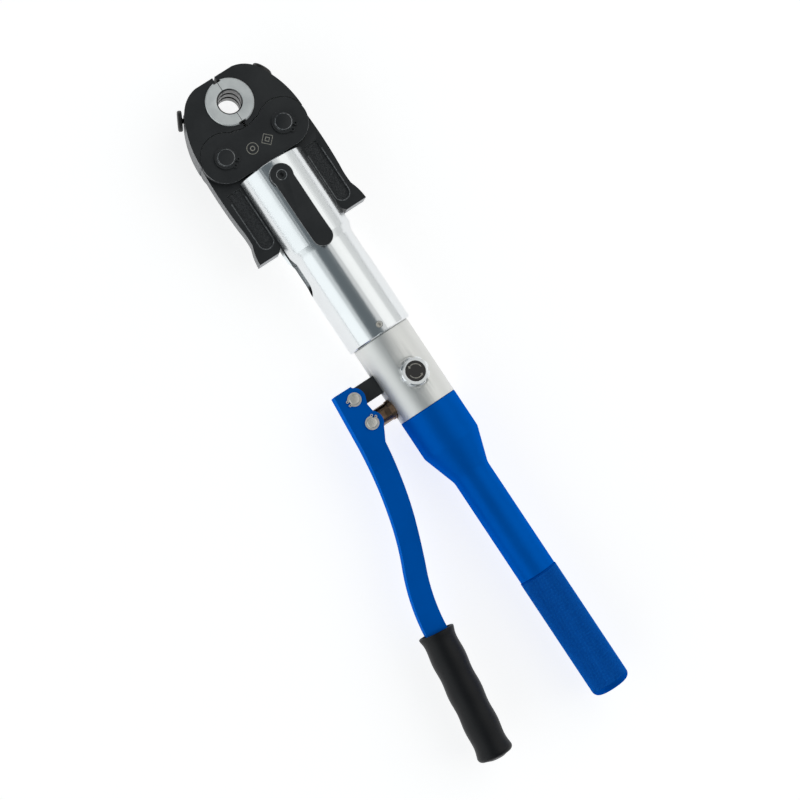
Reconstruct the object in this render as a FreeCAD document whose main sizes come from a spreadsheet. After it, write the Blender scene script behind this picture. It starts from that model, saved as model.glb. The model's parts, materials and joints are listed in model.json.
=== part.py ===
import FreeCAD, Part
import math
import os
import Sketcher

# Hand-pumped pipe crimping tool, in millimetres.
# Origin: centre of the closed crimp bore. +X runs from the head to the handle's end, +Z out of the front
# side plate, where the release dial is, and the pump lever is on the -Y side.

DRIVING_SIZES = {
    # crimp dies and their bore
    "die_radius": 18.15, "bore_radius": 8.75, "bore_groove_depth": 0.8, "die_half_height": 18.5, "die_gap": 0.36,
    "die_notch_width": 6.0, "die_notch_depth": 1.5, "die_clearance": 0.05,
    # jaws, their pins and the plates that hold the pins
    "pin_x": 33.7, "pin_y": 25.35, "pin_radius": 7.0, "pin_half_length": 19.4, "running_gap": 0.05,
    "jaw_half_thickness": 9.7, "head_half_thickness": 17.0, "jaw_slit": 2.0, "lobe_radius": 19.0,
    "plate_inner": 10.1, "plate_thickness": 6.5, "plate_relief_radius": 22.0, "plate_foot": 52.7,
    "tail_half_width": 13.6, "tail_end": 80.0, "jaw_top": -21.8, "arm_end": 113.2,
    "clip_thickness": 1.2, "clip_outer_radius": 8.7, "clip_bore_radius": 6.1,
    # fork sleeve
    "fork_front": 54.5, "fork_radius": 29.0, "fork_end": 121.5, "cone_end": 127.5, "sleeve_radius": 26.4,
    "sleeve_end": 205.2, "fork_bore_radius": 22.0, "slot_width": 20.0, "slot_end": 153.4,
    "slot_flare_start": 24.9,
    "spigot_radius": 22.6, "spigot_front": 160.0, "swivel_groove_radius": 20.4, "swivel_screw_x": 198.6,
    "swivel_screw_radius": 2.6,
    # locking pin of the jaw set, with its turning lever
    "lock_x": 67.9, "lock_radius": 7.0, "lock_head_radius": 8.8, "lock_head_z": 27.0, "lock_lever_z": 29.6,
    "lock_lever_thickness": 2.4, "lock_lever_width": 15.8, "lock_lever_bend": 104.7, "lock_lever_end": 129.7,
    "lock_lever_rise": 3.2,
    # ram, rollers and cylinder
    "roller_x": 95.0, "roller_y": 8.6, "roller_radius": 8.2, "roller_half_height": 9.9, "roller_pin_radius": 3.6,
    "ram_travel": 36.0, "jaw_travel_deg": 16.2, "cam_gap": 0.3, "carriage_radius": 21.8,
    "carriage_half_height": 15.0, "carriage_half_width": 14.5, "carriage_front": 84.0, "carriage_end": 118.0, "rod_radius": 9.0,
    "piston_front": 178.0, "piston_end": 190.0, "cylinder_radius": 16.0, "cylinder_end": 227.0,
    "gland_end": 168.0, "gland_radius": 18.5,
    # pump body, bracket and plunger
    "body_radius": 23.7, "body_end": 269.0, "bracket_x": 234.6, "bracket_width": 15.0, "bracket_half_height": 6.7,
    "bracket_seat": -20.0, "pivot_y": -44.5, "lever_pin_radius": 4.0, "bracket_stud_radius": 5.0,
    "plunger_x": 255.8, "plunger_radius": 7.2, "plunger_gland_radius": 7.85, "plunger_pin_x": 256.2,
    "plunger_pin_y": -43.0, "plunger_bore_end": 6.5, "valve_way_y": 12.0,
    # release dial
    "dial_x": 242.0, "dial_radius": 11.0, "dial_tilt_deg": 4.5, "dial_seat_z": 22.6, "dial_top_z": 31.0,
    "dial_cap_radius": 7.7, "spindle_radius": 3.5,
    # handle with the oil reservoir
    "handle_cone_start": 301.0, "handle_cone_end": 328.0, "handle_tube_radius": 14.9, "handle_tube_end": 417.7,
    "grip_radius": 15.5, "grip_end": 520.0, "handle_wall": 3.0, "bladder_radius": 11.2, "joint_length": 14.0,
    # pump lever
    "lever_half_height": 11.0, "lever_slot_half_height": 7.1, "lever_bar_half_height": 8.3,
    "pivot_boss_radius": 8.7, "plunger_boss_radius": 9.0, "tang_half_width": 6.0, "rubber_x": 411.5,
    "rubber_y": -88.3, "rubber_lean_deg": 7.5,
}


class Size:
    """A number from the sheet, or worked out from it: its value, and the expression that binds it."""

    def __init__(self, value, text):
        self.value = value
        self.text = text

    def joined(self, sign, other, value):
        return Size(value, "(%s %s %s)" % (self.text, sign, as_size(other).text))

    def __add__(self, other):
        return self.joined("+", other, self.value + as_size(other).value)

    def __sub__(self, other):
        return self.joined("-", other, self.value - as_size(other).value)

    def __mul__(self, other):
        return self.joined("*", other, self.value * as_size(other).value)

    def __truediv__(self, other):
        return self.joined("/", other, self.value / as_size(other).value)

    def __neg__(self):
        return Size(-self.value, "(-1 * %s)" % self.text)

    def __radd__(self, other):
        return as_size(other) + self

    def __rsub__(self, other):
        return as_size(other) - self

    def __rmul__(self, other):
        return as_size(other) * self


def as_size(number):
    if isinstance(number, Size):
        return number
    return Size(float(number), "%.6f" % number)


doc = FreeCAD.newDocument("PipeCrimpingTool")
sheet = doc.addObject("Spreadsheet::Sheet", "Sizes")


class Sizes:
    """Every driving size as an attribute, once it is in the sheet."""


def fill_sheet():
    for row, (name, value) in enumerate(DRIVING_SIZES.items(), 1):
        sheet.set("A%d" % row, name)
        sheet.set("B%d" % row, str(value))
        sheet.setAlias("B%d" % row, name)
    doc.recompute()
    for name in DRIVING_SIZES:
        setattr(Sizes, name, Size(float(sheet.get(name)), "Sizes." + name))


fill_sheet()
S = Sizes
SUBPARTS = []
X_AXIS = FreeCAD.Vector(1, 0, 0)
Y_AXIS = FreeCAD.Vector(0, 1, 0)
Z_AXIS = FreeCAD.Vector(0, 0, 1)
ALONG = {
    "x": FreeCAD.Rotation(Z_AXIS, X_AXIS),
    "y": FreeCAD.Rotation(Z_AXIS, Y_AXIS),
    "z": FreeCAD.Rotation(),
}
BIG = 120.0


# ---------------------------------------------------------------- drawing helpers

def subpart(piece, label):
    """Names a finished piece: its label is its node."""
    piece.Label = label
    SUBPARTS.append(piece)
    return piece


def bind(piece, prop, size):
    size = as_size(size)
    if "Sizes." in size.text:
        piece.setExpression(prop, size.text)
    else:
        setattr(piece, prop, size.value)


def place(piece, at=(0, 0, 0), rotation=None):
    base = [as_size(c) for c in at]
    piece.Placement = FreeCAD.Placement(FreeCAD.Vector(*[c.value for c in base]), rotation or FreeCAD.Rotation())
    for name, size in zip("xyz", base):
        if "Sizes." in size.text:
            piece.setExpression("Placement.Base." + name, size.text)
    return piece


def cylinder(name, radius, length, at=(0, 0, 0), along="z", rotation=None):
    """A round bar from at, running up the given axis."""
    bar = doc.addObject("Part::Cylinder", name)
    bind(bar, "Radius", radius)
    bind(bar, "Height", length)
    return place(bar, at, rotation or ALONG[along])


def box(name, sizes, at):
    """A block given by its three sizes and its lowest corner."""
    block = doc.addObject("Part::Box", name)
    for prop, size in zip(("Length", "Width", "Height"), sizes):
        bind(block, prop, size)
    return place(block, at)


def fused(name, pieces):
    joint = doc.addObject("Part::MultiFuse", name)
    joint.Shapes = pieces
    joint.Refine = True
    return joint


def grouped(name, pieces):
    """Identical pieces kept as separate solids in one node."""
    group = doc.addObject("Part::Compound", name)
    group.Links = pieces
    return group


def cut(name, base, tools):
    result = doc.addObject("Part::Cut", name)
    result.Base = base
    result.Tool = tools[0] if len(tools) == 1 else fused(name + "_tools", tools)
    result.Refine = True
    return result


def common(name, pieces):
    result = doc.addObject("Part::MultiCommon", name)
    result.Shapes = pieces
    return result


def mirrored(name, source, normal=Y_AXIS):
    """The same piece on the other side of a plane through the origin."""
    result = doc.addObject("Part::Mirroring", name)
    result.Source = source
    result.Base = FreeCAD.Vector()
    result.Normal = normal
    return result


def origin_plane(body, role):
    return next(f for f in body.Origin.OriginFeatures if f.Role == role)


def sketch_on(body, role, name):
    sketch = body.newObject("Sketcher::SketchObject", name)
    sketch.AttachmentSupport = [(origin_plane(body, role), "")]
    sketch.MapMode = "FlatFace"
    return sketch


def hold_point(sketch, geometry, end, x, y):
    """Pins one end of an edge to sizes of the sheet."""
    for kind, size in (("DistanceX", x), ("DistanceY", y)):
        index = sketch.addConstraint(Sketcher.Constraint(kind, -1, 1, geometry, end, size.value))
        if "Sizes." in size.text:
            sketch.setExpression("Constraints[%d]" % index, size.text)


def outline(sketch, points):
    """Draws a closed outline. A point is (x, y), or (x, y, middle) where an arc through middle leads to it."""
    ends = [(as_size(p[0]), as_size(p[1])) for p in points]
    count = len(points)
    joints = []
    for i in range(count):
        target = (i + 1) % count
        start = FreeCAD.Vector(ends[i][0].value, ends[i][1].value, 0)
        stop = FreeCAD.Vector(ends[target][0].value, ends[target][1].value, 0)
        if len(points[target]) == 3:
            middle = FreeCAD.Vector(*points[target][2], 0)
            edge = sketch.addGeometry(Part.Arc(start, middle, stop), False)
            clockwise = (middle - start).cross(stop - middle).z < 0
            joints.append((edge, 2, 1) if clockwise else (edge, 1, 2))
            sketch.addConstraint(Sketcher.Constraint("Radius", edge, sketch.Geometry[edge].Radius))
        else:
            joints.append((sketch.addGeometry(Part.LineSegment(start, stop), False), 1, 2))
    for i, (edge, first, last) in enumerate(joints):
        following = joints[(i + 1) % count]
        sketch.addConstraint(Sketcher.Constraint("Coincident", edge, last, following[0], following[1]))
        hold_point(sketch, edge, first, *ends[i])
    return sketch


def new_body(name):
    return doc.addObject("PartDesign::Body", name)


def turned(name, profile, along="x", at=(0, 0, 0), rotation=None):
    """A lathe-turned piece: profile is a closed list of (place along the axis, radius)."""
    body = new_body(name)
    if along == "x":
        sketch = outline(sketch_on(body, "XY_Plane", name + "_profile"), profile)
    else:
        role = "XZ_Plane" if along == "z" else "XY_Plane"
        sketch = outline(sketch_on(body, role, name + "_profile"), [(radius, place_) for place_, radius in profile])
    turning = body.newObject("PartDesign::Revolution", name + "_turning")
    turning.Profile = sketch
    turning.ReferenceAxis = (sketch, ["H_Axis" if along == "x" else "V_Axis"])
    turning.Angle = 360.0
    body.Tip = turning
    return place(body, at, rotation)


def padded(name, points, thickness, low, tilt=None):
    """A flat piece: an outline in X and Y, padded up from z = low."""
    body = new_body(name)
    sketch = outline(sketch_on(body, "XY_Plane", name + "_outline"), points)
    pad = body.newObject("PartDesign::Pad", name + "_pad")
    pad.Profile = sketch
    bind(pad, "Length", thickness)
    body.Tip = pad
    return place(body, (0, 0, low), tilt)


def coil(name, coil_radius, wire_radius, length, turns, at, rotation):
    """A helical spring, swept along its helix."""
    helix = doc.addObject("Part::Helix", name + "_helix")
    bind(helix, "Radius", coil_radius)
    bind(helix, "Height", length)
    helix.Pitch = as_size(length).value / turns
    wire = doc.addObject("Part::Circle", name + "_wire")
    bind(wire, "Radius", wire_radius)
    wire.Placement = FreeCAD.Placement(
        FreeCAD.Vector(as_size(coil_radius).value, 0, 0), FreeCAD.Rotation(Z_AXIS, Y_AXIS))
    doc.recompute()
    spring = doc.addObject("Part::Sweep", name)
    spring.Sections = [wire]
    spring.Spine = (helix, ["Edge1"])
    spring.Solid = True
    spring.Frenet = True
    return place(spring, at, rotation)


# ---------------------------------------------------------------- head: sleeve, plates, pins

def make_fork_sleeve():
    """Turned sleeve with a fork at its front: the jaw arms spread through the long slot in its two sides."""
    tube = turned("sleeve_tube", [
        (S.fork_front, S.fork_bore_radius), (S.fork_front, S.fork_radius - 0.6), (S.fork_front + 0.6, S.fork_radius),
        (S.fork_end, S.fork_radius), (S.cone_end, S.sleeve_radius), (S.sleeve_end - 0.8, S.sleeve_radius),
        (S.sleeve_end, S.sleeve_radius - 0.8), (S.sleeve_end, S.spigot_radius + S.running_gap),
        (S.spigot_front - 1.0, S.spigot_radius + S.running_gap), (S.spigot_front - 1.0, S.fork_bore_radius)])
    half = S.slot_width / 2
    slot_round_x = S.slot_end - half
    slot = box("side_slot", (slot_round_x - S.fork_front + 5, 80, S.slot_width), (S.fork_front - 5, -40, -half))
    slot_end = cylinder("side_slot_end", half, 80, (slot_round_x, -40, 0), "y")
    flare = []
    edge = S.slot_flare_start
    for side in (1, -1):
        blank = new_body("slot_flare")
        sketch = outline(sketch_on(blank, "YZ_Plane", "slot_flare_outline"), [
            (side * edge, half), (side * (edge + 6), half + 6), (side * (edge + 6), -half - 6), (side * edge, -half)])
        pad = blank.newObject("PartDesign::Pad", "slot_flare_pad")
        pad.Profile = sketch
        bind(pad, "Length", S.slot_end - S.fork_front)
        flare.append(place(blank, (S.fork_front - 5, 0, 0)))
    lock_hole = cylinder("lock_hole", S.lock_radius + S.running_gap, 80, (S.lock_x, 0, -40))
    lock_seat = cylinder("lock_seat", S.lock_head_radius + 0.6, 20, (S.lock_x, 0, S.lock_head_z - 0.2))
    screw_holes = [turned_screw_hole(i) for i in range(3)]
    return subpart(cut("fork", tube, [slot, slot_end, lock_hole, lock_seat] + flare + screw_holes), "fork_sleeve")


def around_x(angle_deg):
    """A bar that points out of the tool's axis, turned about X from +Z."""
    return FreeCAD.Rotation(X_AXIS, angle_deg)


def turned_screw_hole(i):
    return cylinder("swivel_hole", S.swivel_screw_radius, 40, (S.swivel_screw_x, 0, 0), rotation=around_x(120 * i))


def make_swivel_screws():
    """Three grub screws whose tips ride in the spigot's groove, so that the head turns and can't pull off."""
    tip = S.swivel_groove_radius + 0.3
    head = S.sleeve_radius - 0.5
    screws = []
    for i in range(3):
        screw = turned("swivel_screw_blank", [
            (tip, 0), (tip, S.swivel_screw_radius - 0.3), (head, S.swivel_screw_radius - 0.05), (head, 1.4),
            (head - 2, 1.4), (head - 2, 0)], "z")
        screws.append(place(screw, (S.swivel_screw_x, 0, 0), around_x(120 * i)))
    return subpart(grouped("swivel_screw_group", screws), "swivel_screws")


def make_side_plate(label, low):
    """One of two plates that hold the jaw pins. Its tail runs into the fork to the locking pin."""
    lobes = [cylinder("lobe", S.lobe_radius, S.plate_thickness, (S.pin_x, side * S.pin_y, low)) for side in (1, -1)]
    web = box("plate_web", (S.plate_foot - 20, S.pin_y * 2, S.plate_thickness), (20, -1 * S.pin_y, low))
    tail = box("plate_tail", (S.tail_end - S.tail_half_width / 2 - 40, S.tail_half_width * 2, S.plate_thickness),
               (40, -1 * S.tail_half_width, low))
    tail_tip = box("plate_tail_tip", (20, S.tail_half_width * 1.2, S.plate_thickness),
                   (S.tail_end - 20, -0.6 * S.tail_half_width, low))
    blank = fused("plate_blank", lobes + [web, tail, tail_tip])
    relief = cylinder("plate_relief", S.plate_relief_radius, 40, (0, 0, -20))
    holes = [cylinder("plate_hole", S.pin_radius + S.running_gap / 2, 60, (S.pin_x, side * S.pin_y, -30))
             for side in (1, -1)]
    lock_hole = cylinder("plate_lock_hole", S.lock_radius + S.running_gap, 60, (S.lock_x, 0, -30))
    return subpart(cut("plate_" + label, blank, [relief, lock_hole] + holes), label)


def make_jaw_pins():
    pins = []
    groove = S.plate_inner + S.plate_thickness + 0.3
    for side in (1, -1):
        outer = S.pin_half_length
        profile = [(-1 * outer, 0), (-1 * outer, S.pin_radius - 0.8), (0.8 - outer, S.pin_radius),
                   (-1 * groove - S.clip_thickness, S.pin_radius), (-1 * groove - S.clip_thickness, S.clip_bore_radius),
                   (-1 * groove, S.clip_bore_radius), (-1 * groove, S.pin_radius), (groove, S.pin_radius),
                   (groove, S.clip_bore_radius), (groove + S.clip_thickness, S.clip_bore_radius),
                   (groove + S.clip_thickness, S.pin_radius), (outer - 0.8, S.pin_radius),
                   (outer, S.pin_radius - 0.8), (outer, 0)]
        pins.append(turned("jaw_pin", profile, "z", (S.pin_x, side * S.pin_y, 0)))
    return subpart(grouped("jaw_pin_group", pins), "jaw_pins")


def retaining_ring(name, bore, outer, thickness, at, gap_angle):
    """A spring ring with a gap and two eared holes, lying flat."""
    ring = cylinder(name + "_ring", outer, thickness)
    ears = []
    holes = [cylinder(name + "_bore", bore, 5, (0, 0, -2))]
    outer_value = as_size(outer).value
    for side in (1, -1):
        angle = math.radians(gap_angle + side * 17)
        centre = (outer_value * 1.04 * math.cos(angle), outer_value * 1.04 * math.sin(angle))
        ears.append(cylinder(name + "_ear", outer_value * 0.2, thickness, (centre[0], centre[1], 0)))
        holes.append(cylinder(name + "_ear_hole", outer_value * 0.09, 5, (centre[0], centre[1], -2)))
    gap = box(name + "_gap", (outer_value * 2, outer_value * 0.26, 5), (0, 0, 0))
    turn = FreeCAD.Rotation(Z_AXIS, gap_angle)
    gap.Placement = FreeCAD.Placement(turn.multVec(FreeCAD.Vector(0, -outer_value * 0.13, -2)), turn)
    return place(cut(name, fused(name + "_blank", [ring] + ears), holes + [gap]), at)


def make_jaw_pin_clips():
    """A retaining ring in each groove of the two jaw pins."""
    rings = []
    groove = S.plate_inner + S.plate_thickness + 0.3
    for side in (1, -1):
        for low in (groove, -1 * groove - S.clip_thickness):
            rings.append(retaining_ring("pin_clip", S.clip_bore_radius + 0.02, S.clip_outer_radius,
                                        S.clip_thickness, (S.pin_x, side * S.pin_y, low), 35))
    return subpart(grouped("pin_clip_group", rings), "jaw_pin_clips")


# ---------------------------------------------------------------- jaws and dies

def roller_path_in_jaw(steps):
    """Where the roller's centre passes in the right jaw's own frame, as the ram runs back and the jaw opens."""
    path = []
    for i in range(steps + 1):
        travel = -6 + (S.ram_travel.value + 6) * i / steps
        angle = math.radians(S.jaw_travel_deg.value * travel / S.ram_travel.value)
        dx = S.roller_x.value + travel - S.pin_x.value
        dy = S.roller_y.value - S.pin_y.value
        path.append((S.pin_x.value + dx * math.cos(angle) - dy * math.sin(angle),
                     S.pin_y.value + dx * math.sin(angle) + dy * math.cos(angle)))
    return path


def cam_points(steps=10):
    """The arm's inner face: the roller's path, moved out by the roller's radius and its gap."""
    path = roller_path_in_jaw(steps)
    reach = S.roller_radius.value + S.cam_gap.value
    points = []
    for i in range(1, steps):
        tx = path[i + 1][0] - path[i - 1][0]
        ty = path[i + 1][1] - path[i - 1][1]
        length = math.hypot(tx, ty)
        points.append(FreeCAD.Vector(path[i][0] - ty / length * reach, path[i][1] + tx / length * reach, 0))
    return [p for p in points if p.x < S.arm_end.value - 1]


def arc(a, middle, b):
    return Part.Arc(FreeCAD.Vector(*a, 0), FreeCAD.Vector(*middle, 0), FreeCAD.Vector(*b, 0)).toShape()


def line(a, b):
    return Part.LineSegment(FreeCAD.Vector(a[0], a[1], 0), FreeCAD.Vector(b[0], b[1], 0)).toShape()


def jaw_outline():
    """The right jaw seen from the front, as one wire: round head, long arm, flared toe and cam face."""
    slit = S.jaw_slit.value / 2
    top = S.jaw_top.value
    end = S.arm_end.value
    cam = cam_points()
    curve = Part.BSplineCurve()
    curve.interpolate(cam)
    toe = (end, cam[-1].y + 2.6)
    heel = (62.0, 19.4)
    waist = (83.0, 19.4)
    edges = [
        line((top, slit), (top, 16.0)), arc((top, 16.0), (-18.4, 25.2), (-10.5, 33.0)),
        arc((-10.5, 33.0), (9.0, 41.5), (31.0, 44.4)), arc((31.0, 44.4), (55.0, 45.2), (82.0, 44.4)),
        arc((82.0, 44.4), (92.0, 43.8), (98.0, 44.1)), arc((98.0, 44.1), (105.5, 46.4), (end, 47.4)),
        line((end, 47.4), toe), line(toe, cam[-1]), curve.toShape(), line(cam[0], waist), line(waist, heel),
        line(heel, (46.0, 12.0)), line((46.0, 12.0), (30.0, slit)), line((30.0, slit), (top, slit))]
    return Part.Wire(Part.__sortEdges__(edges))


def slab(wire, low, high):
    face = Part.Face(wire)
    face.translate(FreeCAD.Vector(0, 0, low))
    return face.extrude(FreeCAD.Vector(0, 0, high - low))


def bar(radius, low, high, x, y):
    return Part.makeCylinder(radius, high - low, FreeCAD.Vector(x, y, low))


def rounded_pocket(x0, x1, y0, y1, low, high):
    """A flat-bottomed pocket with a round lower end."""
    radius = (y1 - y0) / 2
    block = Part.makeBox(x1 - radius - x0, y1 - y0, high - low, FreeCAD.Vector(x0, y0, low))
    return block.fuse(bar(radius, low, high, x1 - radius, (y0 + y1) / 2))


def lock_axis():
    """The die lock's place on the right jaw's edge, and the way its knob points."""
    angle = math.radians(62.0)
    return FreeCAD.Vector(-9.3, 34.6, 0), FreeCAD.Vector(-math.cos(angle), math.sin(angle), 0)


def jaw_shape():
    """The right jaw. Its head is as thick as the plates stand, its arm fits the fork's slot."""
    arm = S.jaw_half_thickness.value
    head = S.head_half_thickness.value
    pin = (S.pin_x.value, S.pin_y.value)
    lobe = S.lobe_radius.value + 0.35
    body = slab(jaw_outline(), -head, head)
    waist = Part.makeBox(BIG, BIG, BIG, FreeCAD.Vector(pin[0], -1, arm))
    relief = Part.makeBox(BIG, pin[1] + 1, BIG, FreeCAD.Vector(19.4, -1, arm))
    relief = relief.fuse([waist, bar(lobe, arm, BIG, *pin)])
    relief = relief.cut(bar(S.plate_relief_radius.value - 0.4, arm - 1, BIG, 0, 0))
    under = relief.mirror(FreeCAD.Vector(), Z_AXIS)
    hole = bar(S.pin_radius.value + S.running_gap.value, -BIG, BIG, *pin)
    seat = bar(S.die_radius.value + S.die_clearance.value, -BIG, BIG, 0, 0)
    body = body.cut([relief, under, hole, seat])
    for side in (1, -1):
        low, high = sorted((side * (arm - 1.4), side * (arm + 2)))
        body = body.cut(rounded_pocket(57.0, 106.0, 28.5, 39.6, low, high))
    foot, way = lock_axis()
    bore = Part.makeCylinder(2.05, 40, foot - way * 24, way)
    spring_room = Part.makeCylinder(4.2, 11, foot - way * 10.5, way)
    return body.cut([bore, spring_room])


def make_jaws():
    right = doc.addObject("Part::Feature", "jaw_right_solid")
    right.Shape = jaw_shape()
    left = mirrored("jaw_left_solid", right)
    return [subpart(right, "jaw_right"), subpart(left, "jaw_left")]


def make_dies():
    """A ring split along the tool's axis, with two pressing grooves in its bore."""
    top = S.die_half_height
    groove = S.bore_radius + S.bore_groove_depth
    profile = [(-1 * top, S.bore_radius + 1), (1 - top, S.bore_radius)]
    for middle in (-6.5, 6.5):
        profile += [(middle - 2.2, S.bore_radius), (middle - 1.6, groove), (middle + 1.6, groove),
                    (middle + 2.2, S.bore_radius)]
    profile += [(top - 1, S.bore_radius), (top, S.bore_radius + 1), (top, S.die_radius - 0.7),
                (top - 0.7, S.die_radius), (0.7 - top, S.die_radius), (-1 * top, S.die_radius - 0.7)]
    pieces = []
    for label, side in (("die_right", 1), ("die_left", -1)):
        ring = turned(label + "_ring", profile, "z")
        low = S.die_gap / 2 if side > 0 else -1 * S.die_gap / 2 - BIG
        half = box(label + "_half", (BIG, BIG, BIG), (-BIG / 2, low, -BIG / 2))
        notches = [box(label + "_notch", (S.die_notch_depth + 3, S.die_notch_width, BIG), (x, -3, -BIG / 2))
                   for x in (S.die_radius - S.die_notch_depth, -1 * S.die_radius - 3)]
        foot, way = lock_axis()
        way = FreeCAD.Vector(way.x, side * way.y, 0)
        foot = FreeCAD.Vector(foot.x, side * foot.y, 0)
        dimple = cylinder(label + "_dimple", 2.1, 7, tuple(foot - way * 22), rotation=FreeCAD.Rotation(Z_AXIS, way))
        pieces.append(subpart(cut(label, common(label + "_blank", [ring, half]), notches + [dimple]), label))
    return pieces


def make_die_locks():
    """On each jaw: a sprung knob whose stem tip sits in the die, the spring, and the bush that keeps it in."""
    for label, side in (("right", 1), ("left", -1)):
        foot, way = lock_axis()
        foot = FreeCAD.Vector(foot.x, side * foot.y, 0)
        way = FreeCAD.Vector(way.x, side * way.y, 0)
        turn = FreeCAD.Rotation(Z_AXIS, way)
        knob = turned("die_lock_knob_" + label, [
            (-20.3, 0), (-20.3, 1.4), (-19.7, 2.0), (-10.0, 2.0), (-10.0, 3.9), (-8.6, 3.9), (-8.6, 2.0), (0.6, 2.0),
            (0.6, 7.2), (1.2, 7.9), (3.2, 7.9), (4.0, 7.0), (4.0, 0)], "z", tuple(foot), turn)
        subpart(knob, "die_lock_" + label)
        bush = turned("die_lock_bush_" + label, [(-2.9, 2.05), (-2.9, 4.15), (-0.6, 4.15), (-0.6, 2.05)], "z",
                      tuple(foot), turn)
        subpart(bush, "die_lock_bush_" + label)
        spring = coil("die_lock_coil_" + label, 3.1, 0.4, 4.7, 4, tuple(foot - way * 8.1), turn)
        subpart(spring, "die_lock_spring_" + label)


def make_jaw_spring():
    """A spring between the two jaws, behind the pins: it presses the arms apart, so that the jaws close."""
    return subpart(coil("jaw_spring_coil", 4.2, 0.8, 20.8, 7, (50.5, -10.4, 0), ALONG["y"]), "jaw_spring")


# ---------------------------------------------------------------- locking pin of the jaw set

def make_lock():
    """The pin that holds the plates in the fork. Its flat lever turns a quarter turn to free it."""
    rear = -1 * S.fork_radius + 1.5
    pin = turned("lock_pin_solid", [
        (rear, 0), (rear, S.lock_radius - 1), (rear + 1, S.lock_radius), (S.lock_head_z, S.lock_radius),
        (S.lock_head_z, S.lock_head_radius), (S.lock_lever_z, S.lock_head_radius), (S.lock_lever_z, 2.05),
        (S.lock_lever_z - 9, 2.05), (S.lock_lever_z - 9, 0)], "z", (S.lock_x, 0, 0))
    subpart(pin, "jaw_lock_pin")
    screw_top = S.lock_lever_z + S.lock_lever_thickness - 0.1
    screw = turned("lock_screw_solid", [
        (S.lock_lever_z - 8.5, 0), (S.lock_lever_z - 8.5, 2.0), (S.lock_lever_z + 0.7, 2.0), (screw_top, 3.45),
        (screw_top, 1.6), (screw_top - 1.3, 1.6), (screw_top - 1.3, 0)], "z", (S.lock_x, 0, 0))
    subpart(screw, "lock_screw")
    low = S.lock_lever_z
    thick = S.lock_lever_thickness
    half = S.lock_lever_width / 2
    bend = S.lock_lever_bend
    side = new_body("lock_lever_side")
    sketch = outline(sketch_on(side, "XZ_Plane", "lock_lever_side_outline"), [
        (S.lock_x - 12, low), (bend, low), (S.lock_lever_end, low + S.lock_lever_rise),
        (S.lock_lever_end, low + S.lock_lever_rise + thick), (bend, low + thick), (S.lock_x - 12, low + thick)])
    pad = side.newObject("PartDesign::Pad", "lock_lever_side_pad")
    pad.Profile = sketch
    pad.Length = 40
    place(side, (0, 20, 0))
    strip = fused("lock_lever_plan", [
        cylinder("lock_eye", S.lock_head_radius, 20, (S.lock_x, 0, 25)),
        box("lock_strip", (S.lock_lever_end - half - S.lock_x, half * 2, 20), (S.lock_x, -1 * half, 25)),
        cylinder("lock_strip_end", half, 20, (S.lock_lever_end - half, 0, 25))])
    blank = common("lock_lever_blank", [side, strip])
    sink = turned("lock_lever_sink", [
        (low - 1, 0), (low - 1, 2.05), (low + 0.7, 2.05), (low + thick + 0.1, 3.75), (low + thick + 0.1, 0)], "z",
        (S.lock_x, 0, 0))
    subpart(cut("lock_lever_solid", blank, [sink]), "lock_lever")


# ---------------------------------------------------------------- ram and rollers

def make_ram():
    """Piston and rod in one, the slotted block on its front, two rollers on their pins."""
    rod = turned("ram_piston_solid", [
        (S.carriage_end - 12, 0), (S.carriage_end - 12, S.rod_radius - 2), (S.carriage_end, S.rod_radius - 2),
        (S.carriage_end, S.rod_radius), (S.piston_front, S.rod_radius),
        (S.piston_front, S.cylinder_radius - S.running_gap), (S.piston_front + 4, S.cylinder_radius - S.running_gap),
        (S.piston_front + 4, S.cylinder_radius - 2.6), (S.piston_front + 8, S.cylinder_radius - 2.6),
        (S.piston_front + 8, S.cylinder_radius - S.running_gap), (S.piston_end, S.cylinder_radius - S.running_gap),
        (S.piston_end, 0)])
    subpart(rod, "ram_piston")
    seal = turned("piston_seal_solid", [
        (S.piston_front + 4.2, S.cylinder_radius - 2.5), (S.piston_front + 7.8, S.cylinder_radius - 2.5),
        (S.piston_front + 7.8, S.cylinder_radius - 0.06), (S.piston_front + 4.2, S.cylinder_radius - 0.06)])
    subpart(seal, "piston_seal")
    blank = cylinder("carriage_blank", S.carriage_radius, S.carriage_end - S.carriage_front,
                     (S.carriage_front, 0, 0), "x")
    block = box("carriage_slab", (60, S.carriage_half_width * 2, S.carriage_half_height * 2),
                (S.carriage_front, -1 * S.carriage_half_width, -1 * S.carriage_half_height))
    roller_slot = box("carriage_slot", (S.roller_radius * 2 + 5.6, 60, S.roller_half_height * 2 + 0.6),
                      (S.carriage_front - 1, -30, -1 * S.roller_half_height - 0.3))
    rod_bore = cylinder("carriage_rod_bore", S.rod_radius - 2, 20, (S.carriage_end - 12, 0, 0), "x")
    pin_bores = [cylinder("carriage_pin_bore", S.roller_pin_radius + 0.01, 60, (S.roller_x, side * S.roller_y, -30))
                 for side in (1, -1)]
    carriage = cut("carriage_solid", common("carriage_round", [blank, block]), [roller_slot, rod_bore] + pin_bores)
    subpart(carriage, "roller_carriage")
    pins = [cylinder("roller_pin", S.roller_pin_radius, 28, (S.roller_x, side * S.roller_y, -14)) for side in (1, -1)]
    subpart(grouped("roller_pin_group", pins), "roller_pins")
    for label, side in (("roller_right", 1), ("roller_left", -1)):
        half = S.roller_half_height
        roller = turned(label + "_solid", [
            (-1 * half, S.roller_pin_radius + S.running_gap), (-1 * half, S.roller_radius - 1),
            (1 - half, S.roller_radius), (half - 1, S.roller_radius), (half, S.roller_radius - 1),
            (half, S.roller_pin_radius + S.running_gap)], "z", (S.roller_x, side * S.roller_y, 0))
        subpart(roller, label)


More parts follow.
